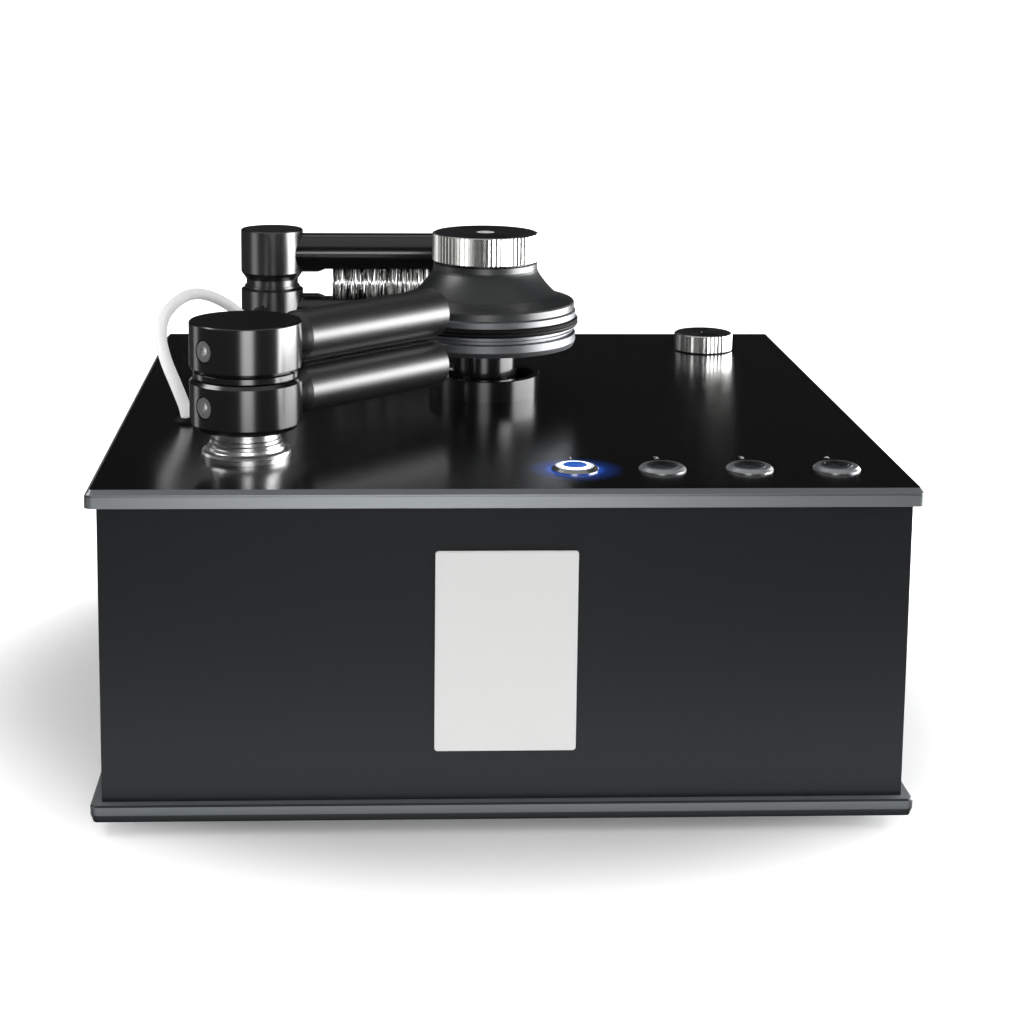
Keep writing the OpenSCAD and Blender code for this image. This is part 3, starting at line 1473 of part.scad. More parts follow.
deck_plate();
bottom_plate();
front_panel();
left_panel();
right_panel();
rear_panel();
corner_posts();
machine_screws();
rubber_feet();
front_badge();
mains_inlet();
power_rocker();
fan_frame();
fan_rotor();
drain_valve();
drain_lever();
clean_tank();
filler_neck();
filler_cap();
waste_tank();
vacuum_turbine();
inner_hoses();
dosing_pump();
control_board();
power_supply();
gear_motor();
bearing_housing();
drive_shaft();
platter();
platter_seal();
clamp_seal();
clamp_plate();
clamp_cone();
clamp_knob();
clamp_knob_disc();
suction_post_base();
suction_post_tube();
suction_hub_lower();
suction_hub_upper();
suction_tube_lower();
suction_tube_upper();
suction_pads();
suction_hub_screws();
brush_post_base();
brush_post_shaft();
brush_hub();
brush_bar_lower();
brush_bar_upper();
bristles_lower();
bristles_upper();
hose_barb();
liquid_hose();
hose_grommet();
button_housings();
button_light_rings();
rotation_button();
direction_button();
liquid_button();
vacuum_button();
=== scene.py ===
"""Looks of a record cleaning machine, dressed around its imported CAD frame.

The CAD nodes keep their shapes and get their finishes here. Soft pieces are built anew: the two
brushes, the velvet beside the suction slits and the liquid hose. Everything is in metres, in the
frame of the CAD model: X to the right, Y to the rear, Z up, the origin on the floor.
"""

from __future__ import annotations

import logging
import math
from dataclasses import dataclass, replace
from enum import Enum
from typing import Callable, Sequence

import bpy
import numpy as np
from bpy.types import ID, Material, Node, NodeSocket, NodeTree, Object, World
from mathutils import Matrix, Vector


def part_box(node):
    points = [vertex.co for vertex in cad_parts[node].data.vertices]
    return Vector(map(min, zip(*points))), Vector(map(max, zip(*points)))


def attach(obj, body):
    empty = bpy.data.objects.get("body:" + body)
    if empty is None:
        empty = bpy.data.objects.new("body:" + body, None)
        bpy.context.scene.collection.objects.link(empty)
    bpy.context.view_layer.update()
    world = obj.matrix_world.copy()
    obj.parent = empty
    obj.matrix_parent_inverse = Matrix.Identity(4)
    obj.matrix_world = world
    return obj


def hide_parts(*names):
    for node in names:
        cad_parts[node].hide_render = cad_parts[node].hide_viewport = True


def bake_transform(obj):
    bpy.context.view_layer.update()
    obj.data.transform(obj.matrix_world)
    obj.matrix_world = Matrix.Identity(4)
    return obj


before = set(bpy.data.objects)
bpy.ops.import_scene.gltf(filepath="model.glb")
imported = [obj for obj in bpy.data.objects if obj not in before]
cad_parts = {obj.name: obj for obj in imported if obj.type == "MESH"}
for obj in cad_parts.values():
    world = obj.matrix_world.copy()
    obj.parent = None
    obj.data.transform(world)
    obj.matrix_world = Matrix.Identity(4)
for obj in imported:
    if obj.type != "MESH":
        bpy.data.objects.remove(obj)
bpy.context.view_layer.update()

MM = 0.001
LOG = logging.getLogger("record_cleaner")

Place = tuple[float, float, float]
# A test of faces: their centres and normals in, a mask out
FaceTest = Callable[[np.ndarray, np.ndarray], np.ndarray]


# Colour and nodes


def linear(hex_colour: str) -> tuple[float, float, float, float]:
    """Turns an sRGB colour into the linear one that shaders take.

    Args:
        hex_colour: the colour as "#rrggbb".

    Returns:
        Linear red, green and blue, and an alpha of 1.
    """
    parts = [int(hex_colour[i:i + 2], 16) / 255 for i in (1, 3, 5)]
    red, green, blue = (p / 12.92 if p <= 0.04045 else ((p + 0.055) / 1.055) ** 2.4 for p in parts)
    return red, green, blue, 1.0


def add_node(tree: NodeTree, kind: str, inputs: dict | None = None) -> Node:
    """Adds one shader node with its settings and what feeds it.

    Args:
        tree: the node tree that gets the node.
        kind: the node's type name, without the ShaderNode that all of them start with.
        inputs: values, or output sockets to link, by socket name, socket number or property.

    Returns:
        The new node.
    """
    node = tree.nodes.new(f"ShaderNode{kind}")
    for key, value in (inputs or {}).items():
        if isinstance(value, NodeSocket):
            tree.links.new(value, node.inputs[key])
        elif isinstance(key, int) or key in node.inputs:
            node.inputs[key].default_value = value
        else:
            setattr(node, key, value)
    return node


class Graph:
    """The nodes of one material or world, with short forms for what is needed often.

    A value given to a method is a number, a vector, a colour or another node's output socket.
    """

    def __init__(self, owner: Material | World) -> None:
        """Empties the owner's node tree.

        Args:
            owner: the material or the world.
        """
        owner.use_nodes = True
        self.tree = owner.node_tree
        self.tree.nodes.clear()

    def place(self) -> NodeSocket:
        """The surface's place in its object."""
        return add_node(self.tree, "TexCoord").outputs["Object"]

    def number(self, operation: str, *values: object) -> NodeSocket:
        """The result of a calculation with numbers."""
        inputs = {"operation": operation, **dict(enumerate(values))}
        return add_node(self.tree, "Math", inputs).outputs[0]

    def vector(self, operation: str, *values: object) -> NodeSocket:
        """A calculation with vectors.

        Args:
            operation: its kind, as Blender names it.
            values: what goes in, in order.

        Returns:
            A socket with the vector or the number that comes out.
        """
        inputs = {"operation": operation, **dict(enumerate(values))}
        node = add_node(self.tree, "VectorMath", inputs)
        return node.outputs["Value" if operation in ("LENGTH", "DOT_PRODUCT") else "Vector"]

    def scaled(self, vector: object, factor: object) -> NodeSocket:
        """A vector times a factor."""
        inputs = {"operation": "SCALE", 0: vector, "Scale": factor}
        return add_node(self.tree, "VectorMath", inputs).outputs[0]

    def ramp(
        self,
        value: NodeSocket,
        target: Sequence[float],
        source: Sequence[float] = (0.0, 1.0),
        soft: bool = False,
    ) -> NodeSocket:
        """Maps a value from one range to another and holds it at both ends.

        Args:
            value: the value.
            target: what it becomes at the source's first and second end.
            source: the range that it is mapped from.
            soft: whether it leaves both ends gently.

        Returns:
            A socket with the mapped value.
        """
        inputs = {
            "interpolation_type": "SMOOTHSTEP" if soft else "LINEAR", "Value": value,
            "From Min": source[0], "From Max": source[1],
            "To Min": target[0], "To Max": target[1],
        }
        return add_node(self.tree, "MapRange", inputs).outputs[0]

    def mixed(self, share: object, first: object, second: object) -> NodeSocket:
        """Mixes two numbers, the second one by its share."""
        inputs = {"data_type": "FLOAT", 0: share, 2: first, 3: second}
        return add_node(self.tree, "Mix", inputs).outputs[0]

    def mixed_colour(self, share: object, first: object, second: object) -> NodeSocket:
        """Mixes two colours, the second one by its share."""
        inputs = {"data_type": "RGBA", 0: share, 6: first, 7: second}
        return add_node(self.tree, "Mix", inputs).outputs[2]


def new_material(name: str, surface: Callable[[Graph], Node]) -> Material:
    """Makes a material.

    Args:
        name: its name.
        surface: builds its nodes and gives back the shader.

    Returns:
        The material.
    """
    made = bpy.data.materials.new(name)
    graph = Graph(made)
    add_node(graph.tree, "OutputMaterial", {"Surface": surface(graph).outputs[0]})
    return made


# Finishes


class Marks(Enum):
    """How a surface was worked, which sets the pattern that it carries."""

    GRAINED = "grained"    # blasted, powder coated or moulded: an even grain
    TURNED = "turned"      # lathe rings round an axis
    DRAWN = "drawn"        # long lines along a direction
    SPRAYED = "sprayed"    # soft waves of a sprayed coat
    SPANGLED = "spangled"  # zinc crystals


# A drawn line is some forty times as long as it is wide
DRAWN_STRETCH = 40


@dataclass(frozen=True)
class Finish:
    """A real material with the marks that its making left.

    name is what the material is called. marks_mm is the size of one mark and marks_depth_mm how
    deep it is. rough_swing and shade_swing are how far roughness and colour follow the marks.
    axis_at and axis place the lathe's axis or the drawn lines. sockets are further values for
    the shader's own sockets.
    """

    name: str
    colour: str
    roughness: float
    metallic: float = 0.0
    marks: Marks = Marks.GRAINED
    marks_mm: float = 0.8
    marks_depth_mm: float = 0.01
    rough_swing: float = 0.04
    shade_swing: float = 0.1
    axis_at: Place = (0.0, 0.0, 0.0)
    axis: Place = (0.0, 0.0, 1.0)
    anisotropy: float = 0.0
    sockets: tuple[tuple[str, object], ...] = ()

    def material(self) -> Material:
        """The material, built at its first use."""
        return bpy.data.materials.get(self.name) or new_material(self.name, self.surface)

    def surface(self, graph: Graph) -> Node:
        """Builds the nodes of the finish.

        Args:
            graph: the material's nodes.

        Returns:
            The shader.
        """
        marks = self.marks_value(graph)
        base = linear(self.colour)
        shaded = tuple(c * (1 - self.shade_swing) for c in base[:3]) + (1.0,)
        roughness = (self.roughness - self.rough_swing, self.roughness + self.rough_swing)
        bump = add_node(
            graph.tree, "Bump", {"Distance": self.marks_depth_mm * MM, "Height": marks}
        )
        shader = add_node(graph.tree, "BsdfPrincipled", {
            "Metallic": self.metallic, "Anisotropic": self.anisotropy, **dict(self.sockets),
            "Base Color": graph.mixed_colour(marks, base, shaded),
            "Roughness": graph.ramp(marks, roughness), "Normal": bump.outputs[0],
        })
        if self.anisotropy:
            _, across = self.from_axis(graph)
            rings = graph.vector("CROSS_PRODUCT", self.axis, across)
            graph.tree.links.new(rings, shader.inputs["Tangent"])
        return shader

    def from_axis(self, graph: Graph) -> tuple:
        """Splits the surface's place into what lies along the axis and what lies across it.

        Args:
            graph: the material's nodes.

        Returns:
            The height along the axis and the vector from the axis, as sockets.
        """
        moved = graph.vector("SUBTRACT", graph.place(), self.axis_at)
        height = graph.vector("DOT_PRODUCT", moved, self.axis)
        return height, graph.vector("SUBTRACT", moved, graph.scaled(self.axis, height))

    def marks_value(self, graph: Graph) -> NodeSocket:
        """The pattern of the marks, from 0 to 1.

        Args:
            graph: the material's nodes.

        Returns:
            A socket with the pattern.
        """
        scale = 1 / (self.marks_mm * MM)
        if self.marks is Marks.SPANGLED:
            crystals = {"Scale": scale, "Vector": graph.place()}
            return add_node(graph.tree, "TexVoronoi", crystals).outputs["Color"]
        where = graph.place()
        if self.marks is Marks.TURNED:
            height, across = self.from_axis(graph)
            rings = {0: graph.vector("LENGTH", across), 1: height}
            where = add_node(graph.tree, "CombineXYZ", rings).outputs[0]
        elif self.marks is Marks.DRAWN:
            height, across = self.from_axis(graph)
            shortened = tuple(a / DRAWN_STRETCH for a in self.axis)
            where = graph.vector("ADD", across, graph.scaled(shortened, height))
        detail = 1.0 if self.marks is Marks.SPRAYED else 2.0
        noise = {"Scale": scale, "Detail": detail, "Roughness": 0.55, "Vector": where}
        return add_node(graph.tree, "TexNoise", noise).outputs[0]


@dataclass(frozen=True)
class GlowingFinish(Finish):
    """A finish that glows round a lit button's axis: on the light guide the LED's own light, on
    the deck, a bezel or a button's face a painted glow, since these are no lamps.

    rings are (radius, softness, strength), from the button's axis outwards, and the strengths
    add up towards the middle. A finish without rings doesn't glow.
    """

    glow_colour: str = "#2558c4"
    glow_at: Place = (0.0, 0.0, 0.0)
    rings: tuple[Place, ...] = ()

    def surface(self, graph: Graph) -> Node:
        """Builds the nodes of the finish, with emission set by the distance from the button's
        axis.

        Args:
            graph: the material's nodes.

        Returns:
            The shader.
        """
        shader = super().surface(graph)
        moved = graph.vector("SUBTRACT", graph.place(), self.glow_at)
        radius = graph.vector("LENGTH", graph.vector("MULTIPLY", moved, (1, 1, 0)))
        total = 0.0
        for reach, softness, strength in self.rings:
            part = graph.ramp(radius, (strength, 0.0), (reach - softness, reach), soft=True)
            total = graph.number("ADD", total, part)
            graph.tree.links.new(total, shader.inputs["Emission Strength"])
        shader.inputs["Emission Color"].default_value = linear(self.glow_colour)
        return shader


@dataclass(frozen=True)
class FibreFinish(Finish):
    """Cut filaments or pile, each fibre with its own shade and a tone from root to tip.

    Of the fibres, dark_share are dark, the next mid_share lie in between and the others are pale.
    colour is a painted shade, mixed in at the roots, where they stand in each other's shade: the
    root has root_tone of its own tone, and a fibre is clear of the painted shade from clear_from
    of its length.
    """

    pale: str = "#e4e2dc"
    dark: str = "#1b1a1a"
    dark_share: float = 0.3
    mid_share: float = 0.12
    root_tone: float = 0.6
    clear_from: float = 0.5

    def surface(self, graph: Graph) -> Node:
        """Builds the nodes of the finish.

        Args:
            graph: the material's nodes.

        Returns:
            The shader.
        """
        shade, along = (
            add_node(graph.tree, "Attribute", {"attribute_name": name}).outputs["Fac"]
            for name in ("shade", "along")
        )
        pale = graph.ramp(shade, (0.0, 1.0), (self.dark_share, self.dark_share + self.mid_share))
        fibre = graph.mixed_colour(pale, linear(self.dark), linear(self.pale))
        # Painted shade: darker towards the roots
        lit = graph.ramp(along, (self.root_tone, 1.0), (0.0, self.clear_from))
        return add_node(graph.tree, "BsdfPrincipled", {
            "Roughness": self.roughness, **dict(self.sockets),
            "Base Color": graph.mixed_colour(lit, linear(self.colour), fibre),
        })


# Aluminium, turned fine and dyed black: deep black with soft, bright streaks
BLACK_ANODISED = Finish(
    "turned aluminium, black anodised", "#0a0b0d", 0.19, marks=Marks.TURNED, marks_mm=0.9,
    marks_depth_mm=0.0012, rough_swing=0.02, sockets=(("IOR", 1.9),),
)
# The same alloy, blasted before the dye: a matt charcoal that holds no sharp reflection
MATT_ANODISED = Finish(
    "blasted aluminium, matt black anodised", "#15181a", 0.38, marks_mm=0.6,
    marks_depth_mm=0.004, rough_swing=0.03, shade_swing=0.15, sockets=(("IOR", 1.8),),
)
# Edge of an aluminium plate, milled after the coat and dyed thin: a satin iron grey
MILLED_EDGE = Finish(
    "milled plate edge, thin black anodised", "#94989a", 0.42, metallic=1.0, marks=Marks.DRAWN,
    marks_mm=0.7, marks_depth_mm=0.003, rough_swing=0.05, shade_swing=0.12,
    axis=(1.0, 0.0, 0.0),
)
# The bottom plate's edge, dyed longer: a darker iron grey
DARK_EDGE = replace(MILLED_EDGE, name="milled plate edge, black anodised", colour="#484b4d")
# The bottom plate's faces: a dull mid grey that is a painted reflection, standing for the sheen
# along the top margin ahead of the panel
PLATE_PAINTED_SHEEN = Finish(
    "aluminium plate, painted grey sheen", "#707375", 0.5, marks_mm=0.6,
    marks_depth_mm=0.006, shade_swing=0.12,
)
# Aluminium plate, lacquered in black and rubbed down: near black, with long soft reflections
LACQUER = GlowingFinish(
    "rubbed black lacquer", "#050506", 0.2, marks=Marks.SPRAYED, marks_mm=3.5,
    marks_depth_mm=0.001, rough_swing=0.02, shade_swing=0.2,
)
# Steel sheet, powder coated: a dull dark grey with a fine even grain
POWDER_COAT = Finish(
    "black powder coat", "#171a1d", 0.5, marks_mm=0.9, marks_depth_mm=0.012,
    rough_swing=0.06, shade_swing=0.25, sockets=(("Specular IOR Level", 0.15),),
)
# Brass, turned and bright nickel plated: clear warm-white reflections
NICKEL = Finish(
    "bright nickel plate", "#f2f1ee", 0.27, metallic=1.0, marks=Marks.TURNED, marks_mm=1.0,
    marks_depth_mm=0.001, rough_swing=0.03, shade_swing=0.05,
)
# The same plate over cut ribs: no lathe rings, so each rib reflects as one clean line
NICKEL_RIBS = replace(
    NICKEL, name="bright nickel plate, ribs", marks=Marks.GRAINED, marks_mm=2.5,
    marks_depth_mm=0.0, roughness=0.24, rough_swing=0.02,
)
# Stainless steel, turned and buffed: mirror bright, with faint rings
BUFFED_STEEL = Finish(
    "buffed stainless steel", "#eaeaea", 0.28, metallic=1.0, marks=Marks.TURNED, marks_mm=0.9,
    marks_depth_mm=0.002, rough_swing=0.03, shade_swing=0.06,
)
# Stainless steel, blasted with beads: a pale, even, nearly matt grey
BLASTED_STEEL = Finish(
    "bead-blasted stainless steel", "#f2f2f2", 0.7, metallic=0.25, marks_mm=0.6,
    marks_depth_mm=0.006,
)
# Cap screws, stainless, tumbled: clouded grey metal
TUMBLED_STEEL = Finish(
    "tumbled stainless steel", "#f0f0f0", 0.3, metallic=1.0, marks_mm=0.9,
    marks_depth_mm=0.012, rough_swing=0.08, shade_swing=0.25,
)
# Stainless steel, turned fine and left satin
SATIN_STEEL = Finish(
    "satin stainless steel", "#b9babc", 0.24, metallic=1.0, marks=Marks.TURNED, marks_mm=0.6,
    marks_depth_mm=0.003, rough_swing=0.05,
)
# Aluminium disc, spun under a brush and dyed black: a fan-shaped sheen round its middle
SPUN_DISC = Finish(
    "spun aluminium disc, black anodised", "#55575a", 0.32, metallic=1.0, marks=Marks.TURNED,
    marks_mm=0.5, marks_depth_mm=0.003, rough_swing=0.08, shade_swing=0.2, anisotropy=0.75,
)
# Acrylic light guide, not lit: smoky grey plastic
LIGHT_GUIDE = Finish(
    "smoked acrylic light guide", "#2c2e31", 0.3, marks_mm=1.0, marks_depth_mm=0.001,
)
# Extruded aluminium as it comes from the mill: long faint draw lines
MILL_ALUMINIUM = Finish(
    "mill-finish aluminium", "#b4b6b8", 0.36, metallic=1.0, marks=Marks.DRAWN,
    marks_depth_mm=0.004, rough_swing=0.06, shade_swing=0.12,
)
# Hot-dip galvanised sheet: grey crystals, each with its own tone
GALVANISED = Finish(
    "galvanised sheet", "#a7abad", 0.42, metallic=1.0, marks=Marks.SPANGLED, marks_mm=6.0,
    marks_depth_mm=0.002, rough_swing=0.1, shade_swing=0.35,
)
# Zinc-plated steel hardware: bluish grey, a little cloudy
ZINC_PLATE = Finish(
    "zinc-plated steel", "#a9adb3", 0.33, metallic=1.0, marks_mm=2.5, marks_depth_mm=0.002,
    rough_swing=0.08, shade_swing=0.15,
)
# Brass, nickel plated, as valve makers supply it
VALVE_BRASS = Finish(
    "nickel-plated brass", "#c3beb0", 0.25, metallic=1.0, marks_mm=3.0, marks_depth_mm=0.002,
    rough_swing=0.06,
)
# Nitrile rubber, pressed in a mould: dull black that hardly reflects
NITRILE = Finish(
    "moulded nitrile rubber", "#0b0b0c", 0.55, marks_mm=0.7, rough_swing=0.06,
    shade_swing=0.2, sockets=(("Specular IOR Level", 0.2),),
)
# Glass-filled nylon, moulded with a fine spark-eroded texture
NYLON = Finish(
    "moulded black nylon", "#17181a", 0.48, marks_mm=0.6, marks_depth_mm=0.02,
    rough_swing=0.07, shade_swing=0.2,
)
# Polyethylene, blow-moulded: milky, with slow thick and thin waves
POLYETHYLENE = Finish(
    "blown polyethylene", "#dfe2dd", 0.42, marks=Marks.SPRAYED, marks_mm=14.0,
    marks_depth_mm=0.12, rough_swing=0.06, shade_swing=0.08,
    sockets=(
        ("Subsurface Weight", 0.4), ("Subsurface Scale", 0.005),
        ("Subsurface Radius", (1.0, 0.9, 0.8)),
    ),
)
# Silicone tube, extruded: milky and soft, light passes a little way in
SILICONE = Finish(
    "extruded silicone tube", "#f6f6f5", 0.34, marks_mm=2.2, rough_swing=0.05,
    shade_swing=0.05,
    sockets=(
        ("Subsurface Weight", 0.1), ("Subsurface Scale", 0.002),
        ("Subsurface Radius", (1.0, 0.9, 0.8)), ("IOR", 1.41),
    ),
)
# The same tube with a painted glow: a faint emission of its own brightens its shade, in place of
# light through its wall
SILICONE_PAINTED_GLOW = replace(
    SILICONE, name="extruded silicone tube, painted glow",
    sockets=(*SILICONE.sockets, ("Emission Color", (1, 1, 1, 1)), ("Emission Strength", 0.22)),
)
# Aluminium plate, blasted and coated in pearl white
PEARL_PLATE = Finish(
    "pearl white coated plate", "#ebebea", 0.45, marks_mm=0.5, marks_depth_mm=0.004,
    rough_swing=0.05, shade_swing=0.03,
)
# Glass-epoxy board under green solder mask
SOLDER_MASK = Finish(
    "green solder mask", "#1d5a34", 0.3, marks=Marks.SPANGLED, marks_mm=3.0,
    marks_depth_mm=0.03, rough_swing=0.05, shade_swing=0.35,
)
# Lever grip, dipped in red vinyl: thick, soft and slightly wavy
RED_VINYL = Finish(
    "dipped red vinyl", "#a92a20", 0.36, marks=Marks.SPRAYED, marks_mm=4.0,
    marks_depth_mm=0.05, rough_swing=0.05, shade_swing=0.12,
)
# Motor can: drawn steel, painted satin black
MOTOR_PAINT = Finish(
    "satin black enamel", "#1f2124", 0.38, marks=Marks.SPRAYED, marks_mm=2.0,
    rough_swing=0.05, shade_swing=0.2,
)
# Screen-printed ink: flat white, a hair thick
PRINT_INK = Finish(
    "screen-printed white ink", "#dcdcda", 0.6, marks_mm=0.6, marks_depth_mm=0.003,
    shade_swing=0.08,
)
# Horsehair and nylon filaments, mixed: pale and black hairs, with painted shade at the roots
BRISTLE_HAIR = FibreFinish("mixed brush hair", "#0c0b0b", 0.42, dark_share=0.42, pale="#f2f1ec")
# The cloth under the pile: woven cotton, black and dull
VELVET_BACKING = Finish(
    "black cotton backing", "#0a0a0b", 0.9, marks_mm=0.5, marks_depth_mm=0.04,
    rough_swing=0.05, shade_swing=0.3,
)
# Cotton velvet: black pile that turns grey where it is seen along its tips, with painted shade at
# the roots
VELVET_PILE = FibreFinish(
    "black cotton velvet", "#050505", 0.85, pale="#232326", dark="#0b0b0c", dark_share=0.4,
    sockets=(("Sheen Weight", 0.5), ("Sheen Roughness", 0.35)),
)


# Meshes


def dress(node: str, finish: Finish, *regions: tuple[Finish, FaceTest]) -> None:
    """Gives a CAD node its finish, and others to the faces that a test picks.

    Args:
        node: the node's name.
        finish: the finish of the whole node.
        regions: pairs of a finish and the test of the faces that get it.
    """
    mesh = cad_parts[node].data
    mesh.materials.clear()
    mesh.materials.append(finish.material())
    count = len(mesh.polygons)
    centres, normals = np.zeros(count * 3), np.zeros(count * 3)
    mesh.polygons.foreach_get("center", centres)
    mesh.polygons.foreach_get("normal", normals)
    centres, normals = centres.reshape(-1, 3), normals.reshape(-1, 3)
    index = np.zeros(count, np.int32)
    for number, (other, test) in enumerate(regions, 1):
        mesh.materials.append(other.material())
        index[test(centres, normals)] = number
    mesh.polygons.foreach_set("material_index", index)
    mesh.update()
    LOG.info("%s: %s%s", node, finish.name, "".join(f", {r[0].name}" for r in regions))


def dress_all(finishes: dict[str, Finish]) -> None:
    """Gives each CAD node its finish, by the node's name."""
    for node, finish in finishes.items():
        dress(node, finish)


def off_axis(centres: np.ndarray, axis: Vector) -> np.ndarray:
    """Distances of points from an upright axis."""
    return np.hypot(centres[:, 0] - axis.x, centres[:, 1] - axis.y)


def add_object(name: str, data: ID) -> Object:
    """Puts a mesh, a curve or a camera into the scene.

    Args:
        name: the object's name.
        data: its mesh, curve or camera.

    Returns:
        The new object.
    """
    made = bpy.data.objects.new(name, data)
    bpy.context.scene.collection.objects.link(made)
    return made


def add_square(name: str, half: float, material: Material) -> Object:
    """Makes a flat square that faces up, for the studio only.

    Args:
        name: the object's name.
        half: half the length of its sides.
        material: its material.

    Returns:
        The new object.
    """
    mesh = bpy.data.meshes.new(name)
    corners = [(-half, -half, 0), (half, -half, 0), (half, half, 0), (-half, half, 0)]
    mesh.from_pydata(corners, [], [(0, 1, 2, 3)])
    mesh.materials.append(material)
    made = add_object(name, mesh)
    return made


def new_piece(
    name: str, points: np.ndarray, faces: Sequence[Sequence[int]], finish: Finish
) -> Object:
    """Makes a smooth mesh object of points and faces.

    Args:
        name: the object's name.
        points: corner points, in metres.
        faces: corner numbers of each face.
        finish: its finish.

    Returns:
        The new object, linked to the scene.
    """
    mesh = bpy.data.meshes.new(name)
    mesh.from_pydata(points.tolist(), [], [list(f) for f in faces])
    mesh.validate()
    mesh.materials.append(finish.material())
    mesh.shade_smooth()
    LOG.info("%s: %s, %d faces", name, finish.name, len(mesh.polygons))
    return add_object(name, mesh)


def stand_in(pieces: Sequence[Object], body: str, node: str) -> None:
    """Lets pieces ride on a body in the place of a CAD node.

    Args:
        pieces: the pieces.
        body: the body that they ride on.
        node: the CAD node that they replace.
    """
    for piece in pieces:
        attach(piece, body)
        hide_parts(node)


def walls(number: np.ndarray) -> list[list[int]]:
    """The faces between the neighbouring rings of one or more tubes.

    Args:
        number: the numbers of the points, by tube, ring and side.

    Returns:
        The corner numbers of each face.
    """
    turned = np.roll(number, -1, axis=2)
    corners = (number[:, :-1], turned[:, :-1], turned[:, 1:], number[:, 1:])
    return np.stack(corners, axis=-1).reshape(-1, 4).tolist()


def capped(number: np.ndarray) -> list[list[int]]:
    """The walls of one or more tubes, and the faces that close their ends."""
    return walls(number) + number[:, -1].tolist() + number[:, 0, ::-1].tolist()


def turn_about(points: np.ndarray, angle: float) -> np.ndarray:
    """Points turned about the upright axis through the origin, by an angle in radians."""
    cos, sin = math.cos(angle), math.sin(angle)
    return points @ np.array([[cos, sin, 0], [-sin, cos, 0], [0, 0, 1]])


@dataclass
class Strands:
    """Many thin fibres in one mesh, each from its root to its tip by way of a bend.

    roots and tips are where the fibres start and end, bends how far their middles stand off the
    straight line, shades the shade of each, and width their thickness at the root. sides is how
    many sides each fibre has, and stations where its rings lie, from 0 at the root to 1 at the
    tip. taper is the tip's width as a share of the root's.
    """

    roots: np.ndarray
    tips: np.ndarray
    bends: np.ndarray
    shades: np.ndarray
    width: float
    sides: int = 3
    stations: tuple[float, ...] = (0.0, 0.45, 0.8, 1.0)
    taper: float = 0.4

    def build(self, name: str, finish: Finish) -> Object:
        """Makes the fibres.

        Args:
            name: the object's name.
            finish: their finish.

        Returns:
            The object.
        """
        points = self.rings()
        count, rings, sides = points.shape[:3]
        number = np.arange(count * rings * sides).reshape(count, rings, sides)
        made = new_piece(name, points.reshape(-1, 3), capped(number), finish)
        shade = np.repeat(self.shades, rings * sides)
        along = np.tile(np.repeat(np.array(self.stations), sides), count)
        for label, values in (("shade", shade), ("along", along)):
            layer = made.data.attributes.new(label, "FLOAT", "POINT")
            layer.data.foreach_set("value", values.astype(np.float32))
        return made

    def rings(self) -> np.ndarray:
        """The fibres' corner points.

        Returns:
            Points by fibre, station and side.
        """
        way = self.tips - self.roots
        heading = way / np.linalg.norm(way, axis=1, keepdims=True)
        side = np.cross(heading, np.array([0.0, 1.0, 0.0]))
        side = side / np.maximum(np.linalg.norm(side, axis=1, keepdims=True), 1e-9)
        turn = (2 * math.pi * np.arange(self.sides) / self.sides)[:, None, None]
        out = np.cos(turn) * side + np.sin(turn) * np.cross(heading, side)
        t = np.array(self.stations)[:, None, None, None]
        line = self.roots + way * t + self.bends * (4 * t * (1 - t))
        points = line + self.width / 2 * (1 - (1 - self.taper) * t) * out
        return points.transpose(2, 0, 1, 3)


def rounded_bar(size: Sequence[float], radius: float, steps: int = 4) -> tuple:
    """A bar along X, centred on the origin, whose long edges and ends are rounded.

    Args:
        size: its length, width and height.
        radius: radius of its edges.
        steps: faces in each quarter round.

    Returns:
        Its points and its faces.
    """
    length, width, height = size
    section = [
        (
            sy * (width / 2 - radius) + radius * math.cos(a),
            sz * (height / 2 - radius) + radius * math.sin(a),
        )
        for quarter, (sy, sz) in enumerate(((1, 1), (-1, 1), (-1, -1), (1, -1)))
        for a in (math.pi / 2 * (quarter + k / steps) for k in range(steps + 1))
    ]
    cuts = []
    for k in range(steps + 1):
        a = math.pi / 2 * k / steps
        cuts.append((-length / 2 + radius * (1 - math.cos(a)), radius * (1 - math.sin(a))))
    cuts += [(-x, inset) for x, inset in reversed(cuts)]
    points = [
        (x, y - math.copysign(min(inset, abs(y)), y), z - math.copysign(min(inset, abs(z)), z))
        for x, inset in cuts
        for y, z in section
    ]
    return np.array(points), capped(np.arange(len(points)).reshape(1, len(cuts), -1))


# Studio


